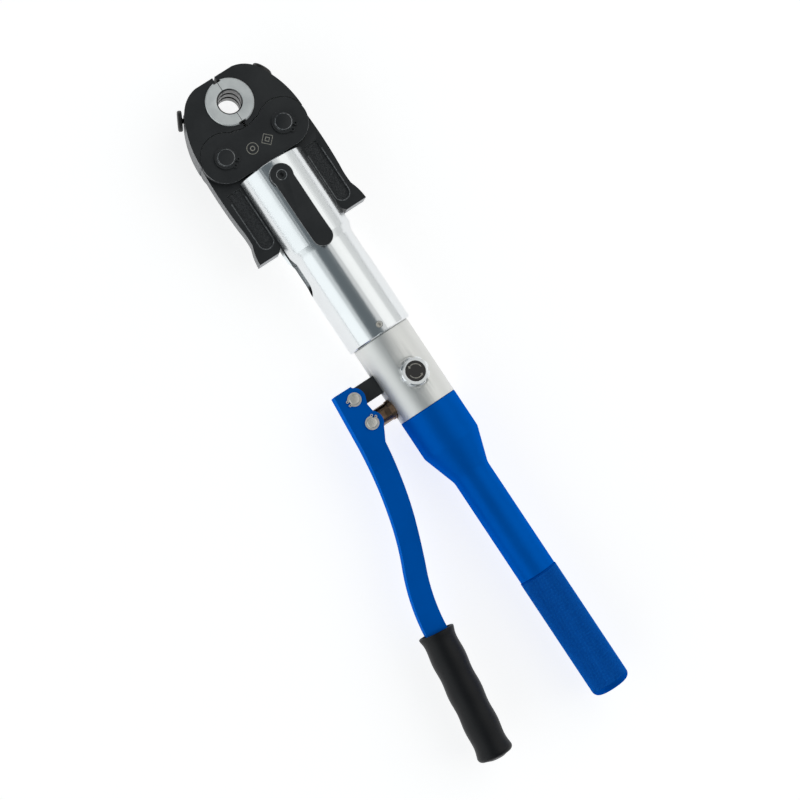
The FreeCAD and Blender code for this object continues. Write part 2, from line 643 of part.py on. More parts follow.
def make_cylinder_front():
    """The ring nut that closes the cylinder's front, its rod seal, and the spring that sends the ram back."""
    gland = turned("rod_gland_solid", [
        (S.spigot_front, S.rod_radius + S.running_gap), (S.spigot_front, S.gland_radius),
        (S.gland_end, S.gland_radius), (S.gland_end, S.rod_radius + S.running_gap),
        (S.gland_end - 2.4, S.rod_radius + S.running_gap), (S.gland_end - 2.4, S.rod_radius + 2),
        (S.gland_end - 5.4, S.rod_radius + 2), (S.gland_end - 5.4, S.rod_radius + S.running_gap)])
    subpart(gland, "rod_gland")
    seal = turned("rod_seal_solid", [
        (S.gland_end - 5.2, S.rod_radius + 0.06), (S.gland_end - 5.2, S.rod_radius + 1.9),
        (S.gland_end - 2.6, S.rod_radius + 1.9), (S.gland_end - 2.6, S.rod_radius + 0.06)])
    subpart(seal, "rod_seal")
    gap = S.piston_front - S.gland_end
    spring = coil("return_coil", 12.6, 0.9, gap - 2.4, 3, (S.gland_end + 1.2, 0, 0), ALONG["x"])
    subpart(spring, "return_spring")


# ---------------------------------------------------------------- pump body

def make_pump_body():
    """Bored and turned body: cylinder and swivel spigot in front, pump and valves behind, reservoir thread last."""
    groove = S.swivel_screw_x
    blank = turned("pump_body_blank", [
        (S.spigot_front, S.gland_radius), (S.spigot_front, S.spigot_radius - 0.8), (S.spigot_front + 0.8, S.spigot_radius),
        (groove - 15, S.spigot_radius), (groove - 15, S.spigot_radius - 2), (groove - 12, S.spigot_radius - 2),
        (groove - 12, S.spigot_radius), (groove - 3.2, S.spigot_radius), (groove - 3.2, S.swivel_groove_radius),
        (groove + 3.2, S.swivel_groove_radius), (groove + 3.2, S.spigot_radius), (S.sleeve_end + 0.3, S.spigot_radius),
        (S.sleeve_end + 0.3, S.body_radius - 0.5), (S.sleeve_end + 0.8, S.body_radius), (S.body_end, S.body_radius),
        (S.body_end, S.body_radius - S.handle_wall - 1), (S.body_end + S.joint_length, S.body_radius - S.handle_wall - 1),
        (S.body_end + S.joint_length, 0), (S.cylinder_end, 0), (S.cylinder_end, S.cylinder_radius),
        (S.gland_end, S.cylinder_radius), (S.gland_end, S.gland_radius)])
    way = S.valve_way_y
    tilt = around_x(-S.dial_tilt_deg.value)
    tools = [
        cylinder("plunger_bore", S.plunger_radius + S.running_gap, 40, (S.plunger_x, S.plunger_bore_end - 40, 0), "y"),
        cylinder("gland_bore", S.plunger_gland_radius, 40, (S.plunger_x, -52.0, 0), "y"),
        cylinder("gland_face", S.plunger_gland_radius + 0.8, 40, (S.plunger_x, S.bracket_seat - 41.0, 0), "y"),
        box("bracket_seat", (S.bracket_width + 0.4, 40, S.bracket_half_height * 2 + 0.4),
            (S.bracket_x - S.bracket_width / 2 - 0.2, S.bracket_seat - 40, -1 * S.bracket_half_height - 0.2)),
        cylinder("bracket_thread", S.bracket_stud_radius + 0.02, 20, (S.bracket_x, -30.0, 0), "y"),
        cylinder("spindle_bore", S.spindle_radius + 0.02, 40, (S.dial_x, 0, 0), rotation=tilt),
        place(cylinder("dial_seat", S.dial_radius + 1.4, 20),
              tuple(tilt.multVec(FreeCAD.Vector(0, 0, S.dial_seat_z.value)) + FreeCAD.Vector(S.dial_x.value, 0, 0)), tilt),
        cylinder("oil_way", 1.2, S.body_end - S.cylinder_end + S.joint_length, (S.cylinder_end - 1, way, 0), "x"),
        cylinder("outlet_chamber", 3.2, 11, (S.cylinder_end + 8, way, 0), "x"),
        cylinder("inlet_chamber", 3.2, 30, (S.body_end - 6, way, 0), "x"),
        cylinder("pump_way", 0.9, way - S.plunger_bore_end + 1, (S.plunger_x, S.plunger_bore_end - 0.5, 0), "y")]
    return subpart(cut("pump_body_solid", blank, tools), "pump_body")


def make_valves():
    """Two check balls with their springs, and the strainer plug on the reservoir's side."""
    way = S.valve_way_y
    balls = []
    for name, x in (("outlet_ball", S.cylinder_end + 16), ("inlet_ball", S.body_end + 0.0)):
        ball = doc.addObject("Part::Sphere", name)
        ball.Radius = 2.5
        balls.append(place(ball, (x, way, 0)))
    subpart(grouped("ball_group", balls), "check_balls")
    springs = [coil("outlet_coil", 2.2, 0.35, 4.2, 4, (S.cylinder_end + 8.6, way, 0), ALONG["x"]),
               coil("inlet_coil", 2.2, 0.35, 2.6, 3, (S.body_end - 5.5, way, 0), ALONG["x"])]
    subpart(grouped("check_spring_group", springs), "check_springs")
    plug = turned("strainer_solid", [
        (S.body_end + 4, 1.2), (S.body_end + 4, 3.15), (S.body_end + S.joint_length, 3.15),
        (S.body_end + S.joint_length, 1.2)], "x", (0, way, 0))
    subpart(plug, "inlet_strainer")
    ring = turned("swivel_ring_solid", [
        (S.swivel_screw_x - 14.8, S.spigot_radius - 1.95), (S.swivel_screw_x - 12.2, S.spigot_radius - 1.95),
        (S.swivel_screw_x - 12.2, S.spigot_radius - 0.02), (S.swivel_screw_x - 14.8, S.spigot_radius - 0.02)])
    subpart(ring, "swivel_ring")


def make_bracket():
    """The lug that carries the lever's pivot, screwed into the body by its own stud."""
    half = S.bracket_width / 2
    high = S.bracket_half_height
    block = padded("bracket_block", [
        (S.bracket_x - half, S.bracket_seat), (S.bracket_x - half, S.pivot_y + 2), (S.bracket_x + half, S.pivot_y + 2),
        (S.bracket_x + half, S.bracket_seat)], high * 2, -1 * high)
    eye = cylinder("bracket_eye", half - 0.6, high * 2, (S.bracket_x, S.pivot_y, -1 * high))
    stud = cylinder("bracket_stud", S.bracket_stud_radius, 9.4, (S.bracket_x, S.bracket_seat - 0.4, 0), "y")
    hole = cylinder("bracket_hole", S.lever_pin_radius + 0.01, 40, (S.bracket_x, S.pivot_y, -20))
    return subpart(cut("bracket_solid", fused("bracket_blank", [block, eye, stud]), [hole]), "lever_bracket")


def lever_pin(name, x, y):
    """A headless pin with a ring groove at each end."""
    end = S.lever_half_height + 2.6
    groove = S.lever_half_height + 0.3
    radius = S.lever_pin_radius
    return turned(name, [
        (-1 * end, 0), (-1 * end, radius - 0.6), (0.6 - end, radius), (-1 * groove - 1.0, radius),
        (-1 * groove - 1.0, radius - 0.7), (-1 * groove, radius - 0.7), (-1 * groove, radius), (groove, radius),
        (groove, radius - 0.7), (groove + 1.0, radius - 0.7), (groove + 1.0, radius), (end - 0.6, radius),
        (end, radius - 0.6), (end, 0)], "z", (x, y, 0))


def lever_rings(name, x, y, gap_angle):
    groove = S.lever_half_height + 0.3
    bore = S.lever_pin_radius - 0.68
    rings = [retaining_ring(name + "_ring", bore, S.lever_pin_radius + 1.3, 1.0, (x, y, low), gap_angle)
             for low in (groove, -1 * groove - 1.0)]
    return subpart(grouped(name + "_group", rings), name)


def make_lever_pins():
    subpart(lever_pin("pivot_pin_solid", S.bracket_x, S.pivot_y), "pivot_pin")
    lever_rings("pivot_pin_rings", S.bracket_x, S.pivot_y, 275)
    subpart(lever_pin("plunger_pin_solid", S.plunger_pin_x, S.plunger_pin_y), "plunger_pin")
    lever_rings("plunger_pin_rings", S.plunger_pin_x, S.plunger_pin_y, 135)


def make_plunger():
    """The pump plunger, its flattened eye slotted along X because the lever's pin swings on an arc."""
    inner_end = 0.0
    outer_end = S.plunger_pin_y - 6.4
    rod = turned("plunger_rod", [
        (outer_end, 0), (outer_end, S.plunger_radius - 1.2), (outer_end + 1.2, S.plunger_radius),
        (inner_end - 0.8, S.plunger_radius), (inner_end, S.plunger_radius - 0.8), (inner_end, 0)], "y",
        (S.plunger_x, 0, 0))
    low = S.bracket_half_height
    tools = []
    for name, z in (("plunger_flat_front", low), ("plunger_flat_back", -1 * low - 10)):
        tools.append(box(name, (40, 23, 10), (S.plunger_x - 20, S.plunger_pin_y - 10.0, z)))
    slot_low = S.plunger_pin_x - 3.5
    slot_half = S.lever_pin_radius + 0.6
    for name, x in (("plunger_slot_start", slot_low), ("plunger_slot_end", S.plunger_pin_x + 0.4)):
        tools.append(cylinder(name, slot_half, 40, (x, S.plunger_pin_y, -20)))
    tools.append(box("plunger_slot", (3.9, slot_half * 2, 40), (slot_low, S.plunger_pin_y - slot_half, -20)))
    eye = cylinder("plunger_eye", S.plunger_radius + 1.1, low * 2, (S.plunger_pin_x - 1.4, S.plunger_pin_y, -1 * low))
    subpart(cut("plunger_solid", fused("plunger_blank", [rod, eye]), tools), "pump_plunger")
    gland = turned("plunger_gland_solid", [
        (-26.2, S.plunger_radius + S.running_gap), (-26.2, S.plunger_gland_radius - 0.3),
        (-25.9, S.plunger_gland_radius - 0.02), (-12.0, S.plunger_gland_radius - 0.02),
        (-12.0, S.plunger_radius + S.running_gap)], "y", (S.plunger_x, 0, 0))
    subpart(gland, "plunger_gland")


# ---------------------------------------------------------------- release dial

def make_release_dial():
    """The screw valve that lets the oil back: lobed ring, its cap, and the pointed spindle."""
    tilt = around_x(-S.dial_tilt_deg.value)
    foot = (S.dial_x, 0, 0)
    base = S.dial_seat_z + 0.4
    top = S.dial_top_z
    radius = S.dial_radius
    blank = turned("dial_blank", [
        (base, S.spindle_radius), (base, radius - 0.6), (base + 0.6, radius), (top - 1.0, radius),
        (top, radius - 1.0), (top, S.dial_cap_radius + 0.05), (top - 2, S.dial_cap_radius + 0.05),
        (top - 2, S.spindle_radius)], "z", foot, tilt)
    lobes = 8
    scoops = []
    for i in range(lobes):
        angle = 2 * math.pi * (i + 0.5) / lobes
        out = FreeCAD.Vector(math.cos(angle), math.sin(angle), 0) * (radius.value + 2.1)
        centre = tilt.multVec(out + FreeCAD.Vector(0, 0, 20)) + FreeCAD.Vector(S.dial_x.value, 0, 0)
        scoops.append(cylinder("dial_scoop", 3.2, 20, tuple(centre), rotation=tilt))
    subpart(cut("dial_solid", blank, scoops), "release_dial")
    cap = turned("dial_cap_solid", [
        (top - 1.95, 0), (top - 1.95, S.dial_cap_radius), (top - 0.1, S.dial_cap_radius),
        (top + 0.3, S.dial_cap_radius - 0.4), (top + 0.3, 0)], "z", foot, tilt)
    subpart(cap, "dial_cap")
    spindle = turned("spindle_solid", [
        (1.0, 0), (4.0, S.spindle_radius - 1.0), (8.0, S.spindle_radius - 1.0), (8.0, S.spindle_radius - 0.05),
        (top - 2.05, S.spindle_radius - 0.05), (top - 2.05, 0)], "z", foot, tilt)
    subpart(spindle, "release_spindle")


# ---------------------------------------------------------------- handle with the oil reservoir

def make_handle():
    wall = S.handle_wall
    tube_bore = S.handle_tube_radius - wall
    end = S.handle_tube_end
    shell = turned("handle_solid", [
        (S.body_end + 0.1, S.body_radius - wall - 0.95), (S.body_end + 0.1, S.body_radius - 0.3),
        (S.body_end + 0.4, S.body_radius), (S.handle_cone_start, S.body_radius),
        (S.handle_cone_end, S.handle_tube_radius), (end, S.handle_tube_radius), (end, tube_bore + 1.4),
        (end + S.joint_length, tube_bore + 1.4), (end + S.joint_length, tube_bore),
        (S.handle_cone_end, tube_bore), (S.handle_cone_start - 2, S.body_radius - wall - 0.95)])
    subpart(shell, "handle_tube")
    last = S.grip_end
    grip = turned("grip_solid", [
        (end + 0.1, tube_bore + 1.45), (end + 0.1, S.grip_radius - 0.6), (end + 0.7, S.grip_radius),
        (last - 5, S.grip_radius), (last - 1.6, S.grip_radius - 1.5), (last, S.grip_radius - 5), (last, 4.1),
        (last - 8, 4.1), (last - 8, tube_bore), (end + S.joint_length + 0.2, tube_bore),
        (end + S.joint_length + 0.2, tube_bore + 1.45)])
    subpart(grip, "handle_grip")
    plug = turned("filler_plug_solid", [
        (last - 8, 0), (last - 8, 4.0), (last - 0.6, 4.0), (last - 0.6, 2.2), (last - 4.5, 2.2), (last - 4.5, 0)])
    subpart(plug, "filler_plug")
    start = S.body_end + S.joint_length + 0.5
    radius = S.bladder_radius
    bag = turned("bladder_solid", [
        (start, 5.0), (start, radius + 6), (start + 3, radius + 6), (start + 3, radius), (last - 14, radius),
        (last - 10, radius - 4), (last - 10, 0), (last - 11.6, 0), (last - 11.6, radius - 5),
        (last - 14.6, radius - 1.6), (start + 4.6, radius - 1.6), (start + 1.6, radius - 1.6), (start + 1.6, 5.0)])
    subpart(bag, "oil_bladder")


# ---------------------------------------------------------------- pump lever

def make_pump_lever():
    """A cast lever: forked round the bracket and the plunger, then an S-bent bar that ends in the grip's tang."""
    high = S.lever_half_height
    bar_points = [
        (225.2, -41.5), (224.9, -56.2), (268.0, -59.6), (331.4, -72.0, (301.0, -64.6)),
        (361.2, -83.3, (347.0, -77.3)), (411.0, -96.6, (386.0, -92.0)), (413.0, -80.0),
        (372.4, -70.6, (391.0, -76.4)), (331.4, -54.8, (352.0, -62.3)), (273.3, -42.3, (302.0, -46.9)),
        (262.6, -36.6), (249.0, -37.4), (242.8, -38.2), (238.4, -36.7)]
    plan = padded("lever_plan", bar_points, high * 2, -1 * high)
    bosses = [cylinder("pivot_boss", S.pivot_boss_radius, high * 2, (S.bracket_x, S.pivot_y, -1 * high)),
              cylinder("plunger_boss", S.plunger_boss_radius, high * 2,
                       (S.plunger_pin_x, S.plunger_pin_y, -1 * high))]
    blank = fused("lever_blank", [plan] + bosses)
    bar_half = S.lever_bar_half_height
    thinning = []
    for side in (1, -1):
        body = new_body("lever_thinning")
        sketch = outline(sketch_on(body, "XZ_Plane", "lever_thinning_outline"), [
            (272.0, side * high), (300.0, side * bar_half), (420.0, side * bar_half), (420.0, side * 20.0),
            (272.0, side * 20.0)])
        pad = body.newObject("PartDesign::Pad", "lever_thinning_pad")
        pad.Profile = sketch
        pad.Length = 120
        thinning.append(place(body, (0, -10, 0)))
    slot_half = S.lever_slot_half_height
    slot = box("lever_slot", (48.5, 40, slot_half * 2), (220, S.pivot_y - 7.6, -1 * slot_half))
    slot_round = cylinder("lever_slot_end", 10, slot_half * 2, (261.0, S.plunger_pin_y, -1 * slot_half))
    holes = [cylinder("lever_pivot_hole", S.lever_pin_radius + S.running_gap, 60, (S.bracket_x, S.pivot_y, -30)),
             cylinder("lever_pin_hole", S.lever_pin_radius + 0.01, 60, (S.plunger_pin_x, S.plunger_pin_y, -30))]
    lever = cut("lever_cut", blank, thinning + [slot, slot_round] + holes)
    subpart(fused("lever_solid", [lever, tang_bar("lever_tang", -8.0, 92.0, S.tang_half_width)]), "pump_lever")


def on_grip_line(along, across, up):
    """A point given along the rubber grip's own line, which leans away from the handle."""
    lean = FreeCAD.Rotation(Z_AXIS, -S.rubber_lean_deg.value)
    start = FreeCAD.Vector(S.rubber_x.value, S.rubber_y.value, 0)
    return FreeCAD.Placement(start + lean.multVec(FreeCAD.Vector(along, across, up)), lean)


def tang_bar(name, start, end, half):
    bar_ = box(name, (end - start, half * 2, half * 2), (0, 0, 0))
    bar_.Placement = on_grip_line(start, -as_size(half).value, -as_size(half).value)
    return bar_


def make_lever_grip():
    """The rubber grip: a closed sleeve on the lever's tang, flared at its rim and waved for the fingers."""
    length = 104.2
    wave = [(0.0, 14.2), (3.0, 13.9), (7.0, 12.9), (22.0, 13.6), (35.0, 12.8), (49.0, 13.6), (62.0, 12.8),
            (76.0, 13.6), (90.0, 13.2), (100.0, 12.6), (103.0, 10.6), (length, 6.0)]
    profile = [(0.0, 0.0)] + wave + [(length, 0.0)]
    rubber = turned("rubber_blank", profile)
    rubber.Placement = on_grip_line(0, 0, 0)
    room = tang_bar("tang_room", -2.0, 93.0, S.tang_half_width + 0.05)
    rim = tang_bar("rim_room", -2.0, 5.0, S.tang_half_width + 3.4)
    subpart(cut("rubber_solid", rubber, [room, rim]), "lever_grip")


# ---------------------------------------------------------------- building and writing

make_fork_sleeve()
make_swivel_screws()
make_side_plate("front_side_plate", S.plate_inner)
make_side_plate("rear_side_plate", -1 * S.plate_inner - S.plate_thickness)
make_jaw_pins()
make_jaw_pin_clips()
make_jaws()
make_dies()
make_die_locks()
make_jaw_spring()
make_lock()
make_ram()
make_cylinder_front()
make_pump_body()
make_valves()
make_bracket()
make_lever_pins()
make_plunger()
make_release_dial()
make_handle()
make_pump_lever()
make_lever_grip()
doc.recompute()


def check_model():
    faults = []
    for piece in doc.Objects:
        if "Invalid" in piece.State or "Error" in piece.State:
            faults.append("%s (%s) failed: %s" % (piece.Label, piece.Name, piece.State))
    for piece in SUBPARTS:
        if piece.Shape.isNull() or not piece.Shape.isValid() or not piece.Shape.Solids:
            faults.append("%s has no valid shape" % piece.Label)
    if faults:
        raise SystemExit("\n".join(faults))


def write_parts():
    os.makedirs("parts", exist_ok=True)
    for piece in SUBPARTS:
        piece.Shape.exportStep("parts/" + piece.Label + ".step")
        print("%-26s %d solids %10.1f mm3" % (piece.Label, len(piece.Shape.Solids), piece.Shape.Volume))


check_model()
write_parts()
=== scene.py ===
import json
import math

import bmesh
import bpy
from mathutils import Matrix, Vector


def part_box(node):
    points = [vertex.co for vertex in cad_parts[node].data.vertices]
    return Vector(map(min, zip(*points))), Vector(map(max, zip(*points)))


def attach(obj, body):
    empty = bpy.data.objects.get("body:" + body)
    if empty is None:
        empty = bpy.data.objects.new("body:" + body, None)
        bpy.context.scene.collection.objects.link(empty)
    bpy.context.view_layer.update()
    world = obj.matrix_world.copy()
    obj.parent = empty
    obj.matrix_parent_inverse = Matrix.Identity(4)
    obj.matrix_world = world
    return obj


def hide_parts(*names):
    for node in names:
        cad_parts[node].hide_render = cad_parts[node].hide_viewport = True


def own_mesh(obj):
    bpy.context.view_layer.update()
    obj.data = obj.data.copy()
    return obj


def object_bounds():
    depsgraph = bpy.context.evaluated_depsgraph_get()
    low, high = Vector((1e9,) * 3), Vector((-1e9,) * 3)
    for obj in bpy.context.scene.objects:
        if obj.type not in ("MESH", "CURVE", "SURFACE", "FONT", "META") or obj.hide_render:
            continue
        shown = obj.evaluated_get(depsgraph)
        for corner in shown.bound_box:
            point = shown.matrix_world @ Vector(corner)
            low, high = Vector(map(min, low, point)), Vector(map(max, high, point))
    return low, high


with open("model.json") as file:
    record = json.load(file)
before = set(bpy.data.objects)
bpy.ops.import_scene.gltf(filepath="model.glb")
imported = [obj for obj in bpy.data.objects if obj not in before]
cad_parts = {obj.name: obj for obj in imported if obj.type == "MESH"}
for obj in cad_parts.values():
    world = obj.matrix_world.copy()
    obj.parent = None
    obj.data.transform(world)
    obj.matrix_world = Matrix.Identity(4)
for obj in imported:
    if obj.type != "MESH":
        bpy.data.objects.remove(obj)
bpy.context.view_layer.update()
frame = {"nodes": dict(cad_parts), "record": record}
MM = 0.001
ARM_FACE = 9.7 * MM
DIAL_TILT = 4.5
# How far from a die's centre its bore is painted dark, as painted shade.
DIE_BORE_SHADE_REACH = 10.5 * MM
DIES = ("die_right", "die_left")
GRIP_LEAN = 7.5
GRIP_START = (411.5 * MM, -88.3 * MM, 0)
RECORD_SLOTS = {part["node"]: part["material_slot"] for part in frame["record"]["subparts"]}


# ---------------------------------------------------------------- node helpers

class Paint:
    """A material's node tree, with short calls for the nodes that the finishes below share."""

    def __init__(self, name, colour, metallic=0.0, roughness=0.4, **sockets):
        self.material = bpy.data.materials.new(name)
        self.material.use_nodes = True
        self.tree = self.material.node_tree
        self.shader = self.tree.nodes["Principled BSDF"]
        self.shader.inputs["Base Color"].default_value = (*colour, 1.0)
        self.shader.inputs["Metallic"].default_value = metallic
        self.shader.inputs["Roughness"].default_value = roughness
        for socket, value in sockets.items():
            self.shader.inputs[socket.replace("_", " ")].default_value = value
        self.place = self.add("ShaderNodeTexCoord").outputs["Object"]

    def add(self, kind, **settings):
        node = self.tree.nodes.new(kind)
        for name, value in settings.items():
            setattr(node, name, value)
        return node

    def join(self, source, target):
        self.tree.links.new(source, target)

    def stretched(self, scale):
        """Object coordinates, scaled per axis."""
        mapping = self.add("ShaderNodeMapping")
        mapping.inputs["Scale"].default_value = scale
        self.join(self.place, mapping.inputs["Vector"])
        return mapping.outputs["Vector"]

    def noise(self, scale, detail=4.0, roughness=0.55, vector=None):
        node = self.add("ShaderNodeTexNoise")
        node.inputs["Scale"].default_value = scale
        node.inputs["Detail"].default_value = detail
        node.inputs["Roughness"].default_value = roughness
        self.join(vector or self.place, node.inputs["Vector"])
        return node.outputs["Fac"]

    def wave(self, scale, direction, distortion, kind="BANDS"):
        node = self.add("ShaderNodeTexWave", wave_type=kind)
        if kind == "BANDS":
            node.bands_direction = direction
        else:
            node.rings_direction = direction
        node.inputs["Scale"].default_value = scale
        node.inputs["Distortion"].default_value = distortion
        node.inputs["Detail"].default_value = 2.0
        self.join(self.place, node.inputs["Vector"])
        return node.outputs["Fac"]

    def cells(self, scale):
        node = self.add("ShaderNodeTexVoronoi", feature="F1")
        node.inputs["Scale"].default_value = scale
        self.join(self.place, node.inputs["Vector"])
        return node.outputs["Distance"]

    def spread(self, value, low, high, start=0.0, stop=1.0):
        """Maps value from start..stop to low..high."""
        node = self.add("ShaderNodeMapRange")
        for socket, number in (("From Min", start), ("From Max", stop), ("To Min", low), ("To Max", high)):
            node.inputs[socket].default_value = number
        self.join(value, node.inputs["Value"])
        return node.outputs["Result"]

    def blend(self, factor, first, second):
        """Mixes two colours, each an RGB triple or a socket, by factor."""
        node = self.add("ShaderNodeMix", data_type="RGBA")
        self.join(factor, node.inputs[0])
        for colour, socket in ((first, node.inputs[6]), (second, node.inputs[7])):
            if isinstance(colour, tuple):
                socket.default_value = (*colour, 1.0)
            else:
                self.join(colour, socket)
        return node.outputs[2]

    def math(self, operation, first, second):
        node = self.add("ShaderNodeMath", operation=operation)
        for number, socket in ((first, node.inputs[0]), (second, node.inputs[1])):
            if isinstance(number, (int, float)):
                socket.default_value = number
            else:
                self.join(number, socket)
        return node.outputs[0]

    def colour(self, socket):
        self.join(socket, self.shader.inputs["Base Color"])

    def mottle(self, pattern, first, second, start, stop):
        """Base colour that goes from first to second as pattern goes from start to stop."""
        self.colour(self.blend(self.spread(pattern, 0.0, 1.0, start, stop), first, second))

    def roughness(self, socket):
        self.join(socket, self.shader.inputs["Roughness"])

    def relief(self, *layers):
        """Bump from (height socket, depth in metres) pairs, one over the other."""
        normal = None
        for height, depth in layers:
            bump = self.add("ShaderNodeBump")
            bump.inputs["Strength"].default_value = 1.0
            bump.inputs["Distance"].default_value = depth
            self.join(height, bump.inputs["Height"])
            if normal is not None:
                self.join(normal, bump.inputs["Normal"])
            normal = bump.outputs["Normal"]
        self.join(normal, self.shader.inputs["Normal"])


# ---------------------------------------------------------------- finishes

def turned_steel(name, colour, roughness, ring_depth):
    """Steel from the lathe: fine rings round the tool's axis, faint handling haze."""
    paint = Paint(name, colour, metallic=1.0, roughness=roughness)
    rings = paint.wave(260.0, "X", 1.5)
    fine = paint.noise(900.0, 3.0, vector=paint.stretched((6.0, 0.35, 0.35)))
    haze = paint.noise(28.0, 5.0)
    paint.roughness(paint.spread(haze, roughness - 0.015, roughness + 0.025, 0.3, 0.7))
    paint.colour(paint.blend(paint.spread(haze, 0.0, 0.5, 0.35, 0.75), colour,
                             tuple(c * 0.92 for c in colour)))
    paint.relief((rings, ring_depth), (fine, ring_depth * 1.4))
    return paint.material


def ground_steel():
    """Die faces: ground flat, with fine turning rings round the bore."""
    colour = (0.86, 0.88, 0.87)
    paint = Paint("die_ground_steel", colour, metallic=0.5, roughness=0.45)
    rings = paint.wave(420.0, "Z", 0.6, kind="RINGS")
    grain = paint.noise(1400.0, 3.0)
    cloud = paint.noise(90.0, 4.0)
    paint.mottle(cloud, colour, (0.74, 0.76, 0.76), 0.35, 0.7)
    paint.roughness(paint.spread(grain, 0.36, 0.52))
    paint.relief((rings, 0.000004), (grain, 0.000006))
    return paint.material


def black_steel():
    """Blackened steel plates and jaws: satin, with a fine blasted grain and faint lighter rubbing."""
    paint = Paint("blackened_steel", (0.026, 0.028, 0.030), metallic=0.35, roughness=0.46,
                  Specular_IOR_Level=0.45)
    grain = paint.noise(2600.0, 3.0, 0.6)
    cloud = paint.noise(45.0, 5.0)
    paint.mottle(cloud, (0.022, 0.024, 0.026), (0.036, 0.038, 0.040), 0.35, 0.7)
    paint.roughness(paint.spread(cloud, 0.40, 0.54, 0.3, 0.7))
    paint.relief((grain, 0.00003))
    return paint.material


def worn_edge():
    """The broken edges of the blackened parts, where handling has rubbed the finish thin."""
    paint = Paint("rubbed_black_edge", (0.22, 0.225, 0.23), metallic=0.6, roughness=0.42)
    wear_and_highlight = paint.noise(700.0, 5.0, 0.6)
    paint.mottle(wear_and_highlight, (0.07, 0.072, 0.076), (0.46, 0.47, 0.48), 0.35, 0.68)
    paint.relief((wear_and_highlight, 0.00003))
    return paint.material


def cast_black():
    """The rough floor of the cast pockets: dark, with lighter flecks in its grain that are partly grain
    and partly painted glints.
    """
    paint = Paint("cast_pocket_black", (0.018, 0.019, 0.021), metallic=0.2, roughness=0.62)
    pits = paint.cells(900.0)
    grain = paint.noise(1500.0, 6.0, 0.7)
    # The lighter grain flecks are partly the cast grain and partly painted glints.
    paint.mottle(grain, (0.012, 0.013, 0.014), (0.10, 0.105, 0.11), 0.4, 0.7)
    paint.relief((pits, 0.0003), (grain, 0.0004))
    return paint.material


def forged_edge():
    """The jaws' bare forged rim: grey scale, rougher than the faces."""
    paint = Paint("forged_rim_grey", (0.16, 0.165, 0.17), metallic=0.6, roughness=0.5)
    grain = paint.noise(1300.0, 5.0, 0.65)
    paint.mottle(grain, (0.035, 0.037, 0.040), (0.34, 0.35, 0.36), 0.38, 0.66)
    paint.relief((grain, 0.0001))
    return paint.material


def dark_steel():
    # This finish also covers the dies' bores and broken edges, where it stands as painted shade.
    paint = Paint("dark_oiled_steel_and_die_shade", (0.10, 0.10, 0.10), metallic=0.9, roughness=0.35)
    grain = paint.noise(1200.0, 3.0)
    paint.roughness(paint.spread(grain, 0.28, 0.44))
    paint.relief((grain, 0.00001))
    return paint.material


def spring_wire():
    paint = Paint("spring_wire", (0.30, 0.30, 0.31), metallic=1.0, roughness=0.3)
    draw = paint.noise(700.0, 3.0)
    paint.roughness(paint.spread(draw, 0.24, 0.42))
    paint.relief((draw, 0.00001))
    return paint.material


def plated_pin():
    """Zinc-plated pins and rings, slightly warm."""
    paint = Paint("zinc_plated_pin", (0.80, 0.76, 0.70), metallic=0.45, roughness=0.3)
    cloud = paint.noise(260.0, 5.0)
    paint.mottle(cloud, (0.86, 0.83, 0.77), (0.66, 0.62, 0.56), 0.35, 0.7)
    paint.roughness(paint.spread(cloud, 0.22, 0.42, 0.3, 0.7))
    paint.relief((cloud, 0.00003))
    return paint.material


def bronze():
    """Turned bronze with fine rings along the plunger."""
    paint = Paint("turned_bronze", (0.30, 0.20, 0.13), metallic=1.0, roughness=0.30)
    rings = paint.wave(520.0, "Y", 1.0)
    cloud = paint.noise(120.0, 4.0)
    paint.mottle(cloud, (0.34, 0.23, 0.15), (0.20, 0.13, 0.085), 0.3, 0.7)
    paint.roughness(paint.spread(cloud, 0.20, 0.36, 0.3, 0.7))
    paint.relief((rings, 0.000008))
    return paint.material


def blue_paint(name):
    """Semi-gloss blue lacquer with a light orange peel and a blue-tinted shine."""
    paint = Paint(name, (0.0, 0.12, 0.60), metallic=0.22, roughness=0.36, Specular_IOR_Level=0.0,
                  Specular_Tint=(0.04, 0.50, 1.0, 1.0))
    peel = paint.noise(520.0, 3.0, 0.5)
    cloud = paint.noise(22.0, 4.0)
    paint.mottle(cloud, (0.0, 0.118, 0.57), (0.0, 0.132, 0.63), 0.3, 0.7)
    paint.roughness(paint.spread(cloud, 0.31, 0.42, 0.3, 0.7))
    paint.relief((peel, 0.00004))
    return paint.material


def knurled_blue():
    """The same lacquer on the knurl, with painted light: its points are painted lighter as a painted
    highlight, varied by noise, and the rest, valleys included, keeps a darker blue as painted shade.
    """
    paint = Paint("knurled_blue_lacquer", (0.0, 0.12, 0.60), metallic=0.22, roughness=0.38,
                  Specular_IOR_Level=0.0, Specular_Tint=(0.04, 0.50, 1.0, 1.0))
    tips = paint.add("ShaderNodeAttribute", attribute_name="knurl_tip_highlight").outputs["Fac"]
    wear_and_highlight = paint.math("MULTIPLY", tips, paint.spread(paint.noise(900.0, 2.0), 0.55, 1.0, 0.35, 0.65))
    paint.colour(paint.blend(wear_and_highlight, (0.0, 0.082, 0.44), (0.02, 0.26, 0.86)))
    paint.relief((paint.noise(900.0, 2.0), 0.00002))
    return paint.material


def grip_rubber():
    """Soft black rubber with a fine moulded grain."""
    paint = Paint("moulded_rubber", (0.006, 0.0065, 0.008), roughness=0.42, Specular_IOR_Level=0.25)
    grain = paint.noise(1800.0, 3.0, 0.6)
    cloud = paint.noise(35.0, 4.0)
    paint.mottle(cloud, (0.005, 0.0055, 0.007), (0.009, 0.0095, 0.011), 0.3, 0.7)
    paint.roughness(paint.spread(cloud, 0.42, 0.54, 0.3, 0.7))
    paint.relief((grain, 0.00004))
    return paint.material


def seal_rubber():
    paint = Paint("seal_rubber", (0.015, 0.015, 0.015), roughness=0.5)
    grain = paint.noise(1500.0, 2.0)
    paint.roughness(paint.spread(grain, 0.42, 0.6))
    paint.relief((grain, 0.00002))
    return paint.material


